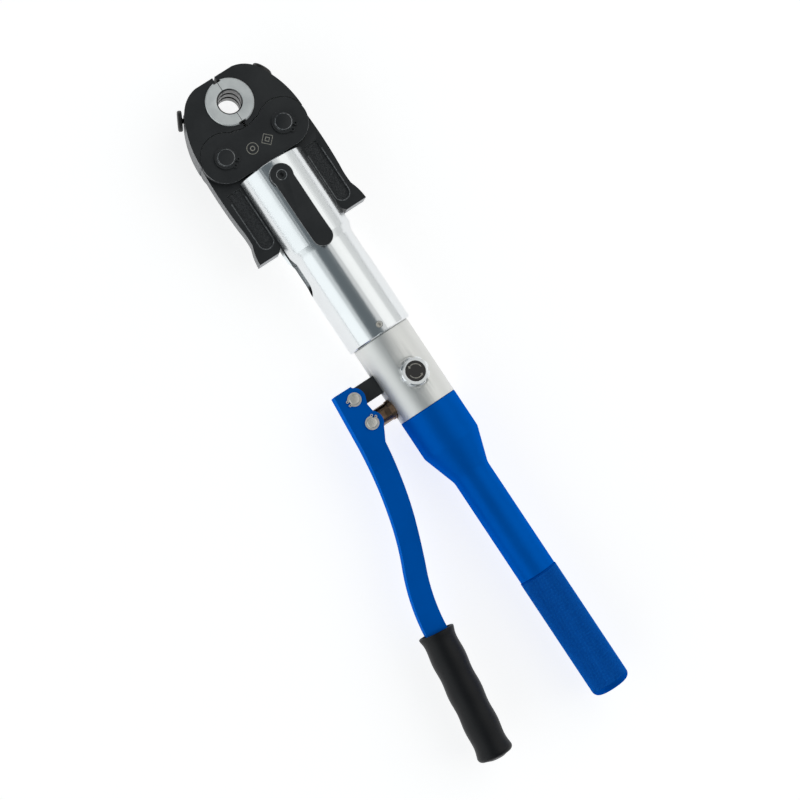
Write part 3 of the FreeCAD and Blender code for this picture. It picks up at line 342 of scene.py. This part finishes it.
def knob_black():
    """Satin black knobs and the dial's cap."""
    paint = Paint("knob_black", (0.022, 0.020, 0.019), roughness=0.42)
    grain = paint.noise(1700.0, 3.0)
    paint.roughness(paint.spread(grain, 0.36, 0.52))
    paint.relief((grain, 0.00002))
    return paint.material


def machined_toe():
    """Bare, milled end faces of the arms."""
    paint = Paint("milled_toe", (0.34, 0.35, 0.36), metallic=0.7, roughness=0.42)
    cut = paint.wave(900.0, "Y", 1.0)
    cloud = paint.noise(300.0, 4.0)
    paint.mottle(cloud, (0.36, 0.37, 0.39), (0.22, 0.23, 0.24), 0.35, 0.7)
    paint.relief((cut, 0.00002))
    return paint.material


def etched():
    """Bare metal where the black finish is etched away."""
    paint = Paint("etched_mark", (0.50, 0.48, 0.43), metallic=0.2, roughness=0.5)
    wear_and_highlight = paint.noise(1600.0, 4.0)
    paint.mottle(wear_and_highlight, (0.48, 0.46, 0.40), (0.22, 0.21, 0.19), 0.35, 0.65)
    return paint.material


FINISH = {
    "machined_steel": turned_steel("polished_turned_steel", (0.80, 0.82, 0.83), 0.20, 0.000001),
    "satin_steel": turned_steel("satin_turned_steel", (0.80, 0.80, 0.78), 0.52, 0.000006),
    "black_steel": black_steel(),
    "die_steel": ground_steel(),
    "dark_steel": dark_steel(),
    "black_knob": knob_black(),
    "spring_steel": spring_wire(),
    "pin_steel": plated_pin(),
    "bronze": bronze(),
    "seal_rubber": seal_rubber(),
    "blue_paint": blue_paint("blue_lacquer"),
    "grip_rubber": grip_rubber(),
}
WORN_EDGE = worn_edge()
CAST_POCKET = cast_black()
KNURLED_BLUE = knurled_blue()
FORGED_RIM = forged_edge()
MACHINED_TOE = machined_toe()
ETCHED = etched()
BODY_OF = {node: body for body, nodes in frame["record"]["behaviour"]["bodies"].items() for node in nodes}


# ---------------------------------------------------------------- mesh helpers

def piece_from(mesh, name, node=None, body=None, slot=None, materials=()):
    """Puts a mesh in the scene as a piece: it rides with its node's body and stands for that node."""
    piece = bpy.data.objects.new(name, mesh)
    bpy.context.scene.collection.objects.link(piece)
    slot = slot or RECORD_SLOTS[node]
    for material in materials or (FINISH[slot],):
        mesh.materials.append(material)
    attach(piece, body or BODY_OF[node])
    if node:
        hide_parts(node)
    return piece


def clean_copy(node):
    """The node's mesh with its loose triangles joined again and its flat faces whole."""
    source = bmesh.new()
    source.from_mesh(frame["nodes"][node].data)
    bmesh.ops.remove_doubles(source, verts=source.verts, dist=0.002 * MM)
    bmesh.ops.dissolve_degenerate(source, dist=0.001 * MM, edges=source.edges)
    bmesh.ops.dissolve_limit(source, angle_limit=math.radians(0.4), verts=source.verts, edges=source.edges)
    mesh = bpy.data.meshes.new(node + "_mesh")
    source.to_mesh(mesh)
    source.free()
    return mesh


def smooth_with_creases(mesh, angle=32.0):
    mesh.shade_smooth()
    mesh.set_sharp_from_angle(angle=math.radians(angle))


def bevel(piece, width, segments, angle):
    stack = piece.modifiers.new("edge_break", "BEVEL")
    stack.width = width
    stack.segments = segments
    stack.limit_method = "ANGLE"
    stack.angle_limit = math.radians(angle)
    stack.harden_normals = True
    stack.use_clamp_overlap = True
    stack.miter_outer = "MITER_ARC"
    return stack


def machined(node, edge, segments, angle, materials):
    """A part whose shape is the frame's, with every hard edge broken as a bench hand would."""
    mesh = clean_copy(node)
    mesh.materials.clear()
    smooth_with_creases(mesh, angle)
    piece = piece_from(mesh, node + "_finished", node, materials=materials)
    stack = bevel(piece, edge, segments, angle)
    if len(materials) > 1:
        stack.material = len(materials) - 1
    return piece


def hidden_inside(node):
    """A part that works inside the tool keeps the frame's own mesh, with its finish."""
    mesh = frame["nodes"][node].data
    mesh.materials.clear()
    mesh.materials.append(FINISH[RECORD_SLOTS[node]])


def rounded(points):
    """A turned profile: points are (along, radius) or (along, radius, fillet), and fillets become arcs."""
    steps = 6
    flat = [Vector((p[0], p[1])) for p in points]
    result = []
    for i, point in enumerate(points):
        corner = flat[i]
        if len(point) < 3:
            result.append(corner)
            continue
        before = (flat[i - 1] - corner).normalized()
        after = (flat[(i + 1) % len(flat)] - corner).normalized()
        half = before.angle(after) / 2
        centre = corner + (before + after).normalized() * point[2] / math.sin(half)
        start = corner + before * point[2] / math.tan(half) - centre
        stop = corner + after * point[2] / math.tan(half) - centre
        sweep = start.angle_signed(stop)
        for k in range(steps + 1):
            turn = -sweep * k / steps
            result.append(centre + Vector((start.x * math.cos(turn) - start.y * math.sin(turn),
                                           start.x * math.sin(turn) + start.y * math.cos(turn))))
    return result


def lathe(piece, steps):
    """Turns a profile drawn in the XZ plane about X."""
    stack = piece.modifiers.new("lathe", "SCREW")
    stack.axis = "X"
    stack.steps = steps
    stack.render_steps = steps
    stack.use_merge_vertices = True
    stack.merge_threshold = 0.004 * MM
    stack.use_normal_calculate = True
    stack.use_smooth_shade = True
    return stack


def profile_mesh(name, points, closed=True):
    """A profile as edges in the XZ plane; points are (along, radius) in millimetres."""
    mesh = bpy.data.meshes.new(name)
    count = len(points)
    edges = [(i, (i + 1) % count) for i in range(count if closed else count - 1)]
    mesh.from_pydata([(x * MM, 0, r * MM) for x, r in points], edges, [])
    return mesh


def turned(node, points, steps, edge):
    """A piece turned about the tool's axis from a profile, its corners broken after turning."""
    mesh = profile_mesh(node + "_profile", points)
    piece = piece_from(mesh, node + "_turned", node)
    lathe(piece, steps)
    bevel(piece, edge, 2, 24.0)
    return piece


def settled(piece, place):
    """The piece's mesh with its stack applied, moved to its place."""
    graph = bpy.context.evaluated_depsgraph_get()
    mesh = bpy.data.meshes.new_from_object(piece.evaluated_get(graph))
    bpy.data.objects.remove(piece)
    mesh.transform(place)
    return mesh


def circle_ring(place, radius, count, corner=None):
    """Points round a placement's Z axis, at the radius or, where it is given, at corner(angle)."""
    ring = []
    for i in range(count):
        angle = 2 * math.pi * i / count
        reach = corner(angle) if corner else radius
        ring.append(place @ Vector((reach * math.cos(angle), reach * math.sin(angle), 0)))
    return ring


def skin(name, rings):
    """A closed skin over rings of points. Each ring joins the next, and a ring of one point is a pole."""
    work = bmesh.new()
    rows = [[work.verts.new(p) for p in ring] for ring in rings]
    for first, second in zip(rows, rows[1:]):
        count = max(len(first), len(second))
        for i in range(count):
            j = (i + 1) % count
            corners = [first[i % len(first)], first[j % len(first)],
                       second[j % len(second)], second[i % len(second)]]
            work.faces.new(list(dict.fromkeys(corners)))
    bmesh.ops.recalc_face_normals(work, faces=work.faces)
    mesh = bpy.data.meshes.new(name)
    work.to_mesh(mesh)
    work.free()
    return mesh


def hexagon(across_flats):
    """Radius of a hexagon's outline at an angle."""
    def reach(angle):
        wedge = math.radians(60)
        return across_flats / 2 / math.cos((angle + wedge / 2) % wedge - wedge / 2)
    return reach


def socket_screw_rings(place, radius, length, key, depth):
    """Rings for a screw whose top is the placement's origin, with a hexagon socket."""
    def at(height):
        return place @ Matrix.Translation((0, 0, height))
    count = 36
    chamfer = 0.3 * MM
    outline = hexagon(key)
    return [
        [at(-length) @ Vector()],
        circle_ring(at(-length), radius - chamfer, count),
        circle_ring(at(chamfer - length), radius, count),
        circle_ring(at(-chamfer), radius, count),
        circle_ring(at(0), radius - chamfer, count),
        circle_ring(at(0), 0, count, lambda angle: outline(angle) + 0.2 * MM),
        circle_ring(at(-0.2 * MM), 0, count, outline),
        circle_ring(at(-depth), 0, count, outline),
        [at(-depth - key * 0.25) @ Vector()],
    ]


def about_x(angle):
    """Turns +Z round the tool's axis, towards -Y for a positive angle."""
    return Matrix.Rotation(angle, 4, "X")


def flat_mark(name, outlines, place, thickness, body, slot, material):
    """A thin raised mark: flat strips, each a list of paired edge points, given body by Solidify."""
    mesh = bpy.data.meshes.new(name)
    points = []
    faces = []
    for outline in outlines:
        base = len(points)
        points += [place @ Vector((x, y, 0)) for x, y in outline]
        half = len(outline) // 2
        for i in range(half - 1):
            faces.append((base + 2 * i, base + 2 * i + 1, base + 2 * i + 3, base + 2 * i + 2))
    mesh.from_pydata(points, [], faces)
    piece = piece_from(mesh, name, body=body, slot=slot, materials=(material,))
    thick = piece.modifiers.new("thickness", "SOLIDIFY")
    thick.thickness = thickness
    thick.offset = 1.0
    return piece


def arc_strip(radius, width, start, stop, centre=(0, 0), steps=28):
    """An arc-shaped strip as pairs of inner and outer points; angles in degrees."""
    strip = []
    for i in range(steps + 1):
        angle = math.radians(start + (stop - start) * i / steps)
        for reach in (radius - width / 2, radius + width / 2):
            strip.append((centre[0] + reach * math.cos(angle), centre[1] + reach * math.sin(angle)))
    return strip


def polygon_strip(radius, width, sides, turn, centre=(0, 0)):
    """A closed polygon's outline as a strip."""
    return arc_strip(radius, width, turn, turn + 360, centre, sides)


# ---------------------------------------------------------------- head

def paint_by_normal(mesh, choose):
    """Gives each face the material index that choose(centre, normal) returns."""
    for face in mesh.polygons:
        face.material_index = choose(face.center, face.normal)


def make_jaws():
    """Blackened jaws: bare forged rims and toes, and rough cast pockets in the arms."""
    finishes = (FINISH["black_steel"], CAST_POCKET, FORGED_RIM, MACHINED_TOE, WORN_EDGE)
    plain, pocket, rim, milled, edge_wear_or_shade = range(len(finishes))
    pocket_depth = 2.0 * MM
    rim_depth = 9 * MM
    crease = 28.0
    for node in ("jaw_right", "jaw_left"):
        low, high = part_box(node)
        toe = high.x - 0.3 * MM
        outer = max(abs(low.y), abs(high.y))

        def finish(centre, normal):
            sunk = ARM_FACE - pocket_depth < abs(centre.z) < ARM_FACE - 0.1 * MM
            inside = 55 * MM < centre.x < 107 * MM and 28 * MM < abs(centre.y) < 40 * MM
            if sunk and inside:
                return pocket if abs(normal.z) > 0.9 else edge_wear_or_shade
            if centre.x > toe and normal.x > 0.8:
                return milled
            outward = normal.y * centre.y > 0
            if outward and abs(normal.z) < 0.3 and abs(centre.y) > outer - rim_depth:
                return rim
            return plain

        mesh = clean_copy(node)
        mesh.materials.clear()
        smooth_with_creases(mesh, crease)
        paint_by_normal(mesh, finish)
        piece = piece_from(mesh, node + "_finished", node, materials=finishes)
        bevel(piece, 0.42 * MM, 2, crease).material = edge_wear_or_shade


def die_bore_painted_shade(centre, normal):
    """A die's second finish, the dark one, goes on its bore as painted shade and painted dark reflection
    in the hole.
    """
    return int(abs(normal.z) < 0.9 and math.hypot(centre.x, centre.y) < DIE_BORE_SHADE_REACH)


def make_pocket_beads():
    """The cast bead that runs round each pocket of the arms, on both faces."""
    start = 64.0 * MM
    centre = (100.45 * MM, 34.05 * MM)
    reach = 6.0 * MM
    width = 0.8 * MM
    height = 0.18 * MM
    near = reach - width / 2
    far = reach + width / 2
    lane = [(start, centre[1] - near), (start, centre[1] - far)]
    lane += arc_strip(reach, width, -90, 90, centre)
    lane += [(start, centre[1] + near), (start, centre[1] + far)]
    for body, side in (("right_jaw", 1), ("left_jaw", -1)):
        for label, face in (("front", 1), ("rear", -1)):
            outline = [(x, side * y) for x, y in lane]
            if side != face:
                outline = [outline[i ^ 1] for i in range(len(outline))]
            place = Matrix.Translation((0, 0, face * ARM_FACE))
            flat_mark("pocket_bead_" + body + "_" + label, [outline], place, height, body, "black_steel",
                      FORGED_RIM)


def make_head_marks():
    """Two etched marks between the jaw pins: two rings, and two squares standing on a corner."""
    _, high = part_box("front_side_plate")
    pin_low, pin_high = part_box("jaw_pins")
    middle = (pin_low.x + pin_high.x) / 2
    face = Matrix.Translation((0, 0, high.z))
    ring_centre = (middle + 4.4 * MM, -4.8 * MM)
    square_centre = (middle + 4.4 * MM, 8.2 * MM)
    outlines = [
        arc_strip(4.3 * MM, 0.5 * MM, 0, 360, ring_centre),
        arc_strip(1.6 * MM, 0.8 * MM, 0, 360, ring_centre, 20),
        polygon_strip(4.9 * MM, 0.6 * MM, 4, 0, square_centre),
        polygon_strip(2.0 * MM, 0.7 * MM, 4, 0, square_centre),
    ]
    flat_mark("etched_marks", outlines, face, 0.06 * MM, "head", "satin_steel", ETCHED)


def make_lock_screw():
    """The screw in the middle of the locking pin's head."""
    low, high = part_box("lock_screw")
    centre = (low + high) / 2
    radius = (high.x - low.x) / 2
    place = Matrix.Translation((centre.x, centre.y, high.z))
    key = 2.9 * MM
    depth = 1.8 * MM
    rings = socket_screw_rings(place, radius, high.z - low.z, key, depth)
    mesh = skin("lock_screw_mesh", rings)
    smooth_with_creases(mesh)
    piece_from(mesh, "lock_screw_socket", "lock_screw")


def make_swivel_screws():
    """Three grub screws round the sleeve's rear end."""
    low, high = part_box("swivel_screws")
    radius = 2.5 * MM
    length = 4.8 * MM
    key = 2.5 * MM
    depth = 1.8 * MM
    x = (low.x + high.x) / 2
    work = bmesh.new()
    for i in range(3):
        place = about_x(math.radians(120 * i)) @ Matrix.Translation((x, 0, high.z))
        mesh = skin("grub_screw", socket_screw_rings(place, radius, length, key, depth))
        work.from_mesh(mesh)
        bpy.data.meshes.remove(mesh)
    mesh = bpy.data.meshes.new("swivel_screws_mesh")
    work.to_mesh(mesh)
    work.free()
    smooth_with_creases(mesh)
    piece_from(mesh, "swivel_grub_screws", "swivel_screws", materials=(FINISH["pin_steel"],))


def make_short_springs():
    """The springs a joint presses together, each a copy of the frame's mesh on a mesh of its own, at the
    frame's length.
    """
    for node, joint in (("jaw_spring", "ram_slide"), ("die_lock_spring_right", "die_lock_right_pull"),
                        ("die_lock_spring_left", "die_lock_left_pull")):
        mesh = frame["nodes"][node].data.copy()
        mesh.materials.clear()
        piece = piece_from(mesh, node + "_wire", node)
        if node == "jaw_spring":
            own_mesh(piece)
        else:
            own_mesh(piece)


# ---------------------------------------------------------------- pump and dial

def make_dial_marks():
    """Two curved arrows on the dial's black cap, one for each way it turns."""
    low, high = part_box("dial_cap")
    centre = (low + high) / 2
    tilt = about_x(math.radians(-DIAL_TILT))
    cap_top = 31.3 * MM
    place = Matrix.Translation((centre.x, 0, 0)) @ tilt @ Matrix.Translation((0, 0, cap_top))
    radius = 5.3 * MM
    outlines = []
    for start in (95.0, 275.0):
        stop = start + 110.0
        outlines.append(arc_strip(radius, 0.7 * MM, start, stop))
        tip = math.radians(stop + 18.0)
        root = math.radians(stop)
        head = 1.3 * MM
        inner = ((radius - head) * math.cos(root), (radius - head) * math.sin(root))
        outer = ((radius + head) * math.cos(root), (radius + head) * math.sin(root))
        point = (radius * math.cos(tip), radius * math.sin(tip))
        outlines.append([inner, outer, point, point])
    flat_mark("dial_arrows", outlines, place, 0.08 * MM, "dial", "machined_steel", ETCHED)


# ---------------------------------------------------------------- handle

def make_handle_tube():
    """Blue painted tube: full width over the reservoir's thread, a soft cone, then the long thin part."""
    low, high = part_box("handle_tube")
    start = low.x / MM
    seat = high.z / MM
    tube = 14.9
    wall = 3.0
    joint = high.x / MM - 14.0
    bore = tube - wall
    seat_bore = seat - wall - 0.95
    spigot = bore + 1.4
    cone_start = 301.0
    cone_stop = 328.0
    turned("handle_tube", rounded([
        (start, seat_bore), (start, seat - 0.35), (start + 0.35, seat), (cone_start, seat, 9.0),
        (cone_stop, tube, 14.0), (joint, tube), (joint, spigot), (joint + 14.0, spigot),
        (joint + 14.0, bore), (cone_stop, bore), (cone_start - 2.0, seat_bore)]), 144, 0.25 * MM)


def make_handle_grip():
    """The grip: a fine diamond knurl over its whole length, a rounded end and the plug's recess."""
    low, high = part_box("handle_grip")
    front = low.x
    last = high.x
    radius = high.z
    step = 0.70 * MM
    depth = 0.34 * MM
    around = 2 * round(math.pi * radius / step)
    knurl_start = front + 1.0 * MM
    knurl_stop = last - 5.2 * MM
    rows = 2 * round((knurl_stop - knurl_start) / step / 2)
    bore = 11.9 * MM
    socket = bore + 1.45 * MM
    socket_stop = front + 14.2 * MM
    recess = 4.1 * MM
    recess_stop = last - 8 * MM

    def ring(x, reach, twist=None):
        result = []
        for i in range(around):
            angle = 2 * math.pi * i / around
            drop = depth if twist is not None and (i + twist) % 2 == 0 else 0
            result.append(Vector((x, -(reach - drop) * math.sin(angle), (reach - drop) * math.cos(angle))))
        return result

    rings = [ring(front, socket), ring(front, radius - 0.8 * MM),
             ring(front + 0.6 * MM, radius - depth * 0.6)]
    first_knurl = len(rings)
    for j in range(rows + 1):
        rings.append(ring(knurl_start + (knurl_stop - knurl_start) * j / rows, radius, j))
    last_knurl = len(rings) - 1
    fillet = 5.0 * MM
    rings.append(ring(knurl_stop + 0.35 * MM, radius - depth * 0.9))
    for k in range(8):
        angle = math.radians(90 - 90 * k / 7)
        reach = radius - fillet + fillet * math.sin(angle) - 0.1 * MM
        rings.append(ring(last - fillet + fillet * math.cos(angle), reach))
    rings += [ring(last, recess + 0.5 * MM), ring(last - 0.5 * MM, recess), ring(recess_stop, recess),
              ring(recess_stop, bore), ring(socket_stop, bore), ring(socket_stop, socket)]

    work = bmesh.new()
    grid = [[work.verts.new(p) for p in points] for points in rings]
    for j, row in enumerate(grid):
        following = grid[(j + 1) % len(grid)]
        for i in range(around):
            k = (i + 1) % around
            if first_knurl <= j < last_knurl:
                if (i + j - first_knurl) % 2 == 0:
                    work.faces.new((row[i], row[k], following[k]))
                    work.faces.new((row[i], following[k], following[i]))
                else:
                    work.faces.new((row[i], row[k], following[i]))
                    work.faces.new((row[k], following[k], following[i]))
            else:
                work.faces.new((row[i], row[k], following[k], following[i]))
    bmesh.ops.recalc_face_normals(work, faces=work.faces)
    mesh = bpy.data.meshes.new("handle_grip_mesh")
    work.to_mesh(mesh)
    work.free()
    smooth_with_creases(mesh, 30.0)
    # Marks the knurl's points, which the lacquer paints lighter as a painted highlight.
    tips = mesh.attributes.new("knurl_tip_highlight", "FLOAT", "POINT")
    for vertex, tip in zip(mesh.vertices, tips.data):
        out = math.hypot(vertex.co.y, vertex.co.z)
        tip.value = 1.0 if out > radius - 0.1 * depth and knurl_start <= vertex.co.x <= knurl_stop else 0.0
    piece_from(mesh, "handle_grip_knurled", "handle_grip", materials=(KNURLED_BLUE,))


def make_filler_plug():
    """The reservoir's plug in the grip's end, with a hexagon socket."""
    low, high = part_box("filler_plug")
    place = Matrix.Translation((high.x, 0, 0)) @ Matrix.Rotation(math.radians(90), 4, "Y")
    radius = 4.0 * MM
    key = 4.0 * MM
    depth = 3.5 * MM
    rings = socket_screw_rings(place, radius, high.x - low.x, key, depth)
    mesh = skin("filler_plug_mesh", rings)
    smooth_with_creases(mesh)
    piece_from(mesh, "filler_plug_socket", "filler_plug")


# ---------------------------------------------------------------- lever grip

def make_lever_grip():
    """The moulded rubber sleeve: a flared rim, shallow finger waves, a thicker closed end."""
    length = 104.2
    waves = 27.0
    steps = 60
    points = [(5.0, 0.0), (5.0, 11.9), (0.6, 12.2), (0.0, 12.8), (0.0, 13.6), (0.5, 14.15)]
    for i in range(1, steps):
        along = 0.5 + (length - 4.5) * i / steps
        wave = 0.38 * math.cos(2 * math.pi * (along - 22.0) / waves)
        rim = 1.15 * math.exp(-(along / 4.5) ** 2)
        swell = 1.0 * math.exp(-((along - 100.0) / 5.0) ** 2)
        points.append((along, 13.1 + wave * min(1.0, (length - along) / 14.0) + rim + swell))
    end = points[-1]
    fillet = 3.6
    for k in range(1, 8):
        angle = math.radians(90 * k / 7)
        points.append((end[0] + fillet * math.sin(angle), end[1] - fillet + fillet * math.cos(angle)))
    points += [(length - 0.5, 6.0), (length - 1.3, 5.4), (length - 1.3, 0.0)]
    mesh = profile_mesh("lever_grip_profile", points, closed=False)
    blank = bpy.data.objects.new("grip_blank", mesh)
    bpy.context.scene.collection.objects.link(blank)
    lathe(blank, 96)
    lean = Matrix.Rotation(math.radians(-GRIP_LEAN), 4, "Z")
    grip = settled(blank, Matrix.Translation(GRIP_START) @ lean)
    smooth_with_creases(grip, 40.0)
    piece_from(grip, "lever_grip_moulded", "lever_grip")


# ---------------------------------------------------------------- the rest, part by part

INSIDE = (
    "piston_seal", "rod_seal", "return_spring", "check_balls", "check_springs", "inlet_strainer",
    "swivel_ring", "oil_bladder",
)
EDGES = {
    "fork_sleeve": 0.35, "die_right": 0.2, "die_left": 0.2, "lock_lever": 0.6,
    "pump_lever": 2.2, "lever_bracket": 0.5, "pump_body": 0.3, "release_dial": 0.3, "jaw_pins": 0.4,
    "pump_plunger": 0.3, "pivot_pin": 0.25, "plunger_pin": 0.25,
}

for inner in INSIDE:
    hidden_inside(inner)
make_jaws()
make_pocket_beads()
make_head_marks()
make_lock_screw()
make_swivel_screws()
make_short_springs()
make_dial_marks()
make_handle_tube()
make_handle_grip()
make_filler_plug()
make_lever_grip()
for node_name, node_object in frame["nodes"].items():
    if node_name not in INSIDE and not node_object.hide_render:
        steps = 4 if node_name == "pump_lever" else 2
        edge_wear_or_shade = (FINISH["black_steel"], WORN_EDGE) if RECORD_SLOTS[node_name] == "black_steel" else ()
        # The dies' broken edges and bores take the dark finish, as painted shade along the split, round
        # the rim and in the bore.
        if node_name in DIES:
            edge_wear_or_shade = (FINISH["die_steel"], FINISH["dark_steel"])
        crease = 14.0 if node_name == "fork_sleeve" else 32.0
        finished = machined(node_name, EDGES.get(node_name, 0.12) * MM, steps, crease, edge_wear_or_shade)
        if node_name in DIES:
            paint_by_normal(finished.data, die_bore_painted_shade)


# ---------------------------------------------------------------- floor, light and camera

def make_floor():
    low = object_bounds()[0].z
    size = 8.0
    mesh = bpy.data.meshes.new("floor")
    corners = [(-size, -size, low), (size, -size, low), (size, size, low), (-size, size, low)]
    mesh.from_pydata(corners, [], [(0, 1, 2, 3)])
    floor = bpy.data.objects.new("floor", mesh)
    bpy.context.scene.collection.objects.link(floor)
    paint = Paint("pale_floor", (0.40, 0.40, 0.40), roughness=0.9, Emission_Color=(1, 1, 1, 1),
                  Emission_Strength=0.80)
    cloud = paint.noise(3.0, 3.0)
    paint.colour(paint.blend(cloud, (0.39, 0.39, 0.39), (0.41, 0.41, 0.41)))
    mesh.materials.append(paint.material)


def strip_light(name, low_angle, high_angle, radiance, colour):
    """A long softbox over the tool. Angles lean from straight up towards the lever's side, in degrees."""
    distance = 2.6
    long = 4.0
    middle = math.radians((low_angle + high_angle) / 2)
    wide = 2 * distance * math.tan(math.radians(high_angle - low_angle) / 2)
    data = bpy.data.lights.new(name, "AREA")
    data.shape = "RECTANGLE"
    data.size, data.size_y = long, wide
    data.energy = math.pi * radiance * long * wide
    data.color = colour
    lamp = bpy.data.objects.new(name, data)
    bpy.context.scene.collection.objects.link(lamp)
    back = Vector((0, -math.sin(middle), math.cos(middle)))
    along = Vector((1, 0, 0))
    across = back.cross(along)
    turn = Matrix((along, across, back)).transposed().to_4x4()
    lamp.matrix_world = Matrix.Translation(Vector((0.25, 0, 0)) + back * distance) @ turn


def make_light():
    world = bpy.data.worlds.new("studio")
    bpy.context.scene.world = world
    world.use_nodes = True
    world.node_tree.nodes["Background"].inputs["Color"].default_value = (0.78, 0.92, 1.0, 1.0)
    world.node_tree.nodes["Background"].inputs["Strength"].default_value = 0.16
    cool = (0.97, 1.0, 1.0)
    warm = (1.0, 0.985, 0.955)
    strip_light("left_fringe", 35, 46, 0.55, cool)
    strip_light("left_softbox", 46, 88, 1.02, cool)
    strip_light("right_fringe", -28, -9, 0.62, warm)
    strip_light("right_softbox", -62, -28, 1.02, warm)
    strip_light("right_skirt", -88, -62, 0.62, warm)
    bpy.context.scene.view_settings.view_transform = "Standard"


def make_camera():
    """Looks down on the tool lying on its back, a little from the lever's side."""
    roll = math.radians(8.5)
    tool_slope = math.radians(56.43)
    distance = 1.5688
    centre = Vector((0.2535, -0.0145, 0.0))
    back = Vector((0, -math.sin(roll), math.cos(roll)))
    along = Vector((1, 0, 0))
    across = back.cross(along)
    right = along * math.cos(tool_slope) + across * math.sin(tool_slope)
    up = across * math.cos(tool_slope) - along * math.sin(tool_slope)
    data = bpy.data.cameras.new("camera")
    data.sensor_width = 36.0
    data.lens = 94.5
    camera = bpy.data.objects.new("camera", data)
    bpy.context.scene.collection.objects.link(camera)
    turn = Matrix((right, up, back)).transposed().to_4x4()
    camera.matrix_world = Matrix.Translation(centre + back * distance) @ turn
    bpy.context.scene.camera = camera


make_camera()
make_light()
make_floor()
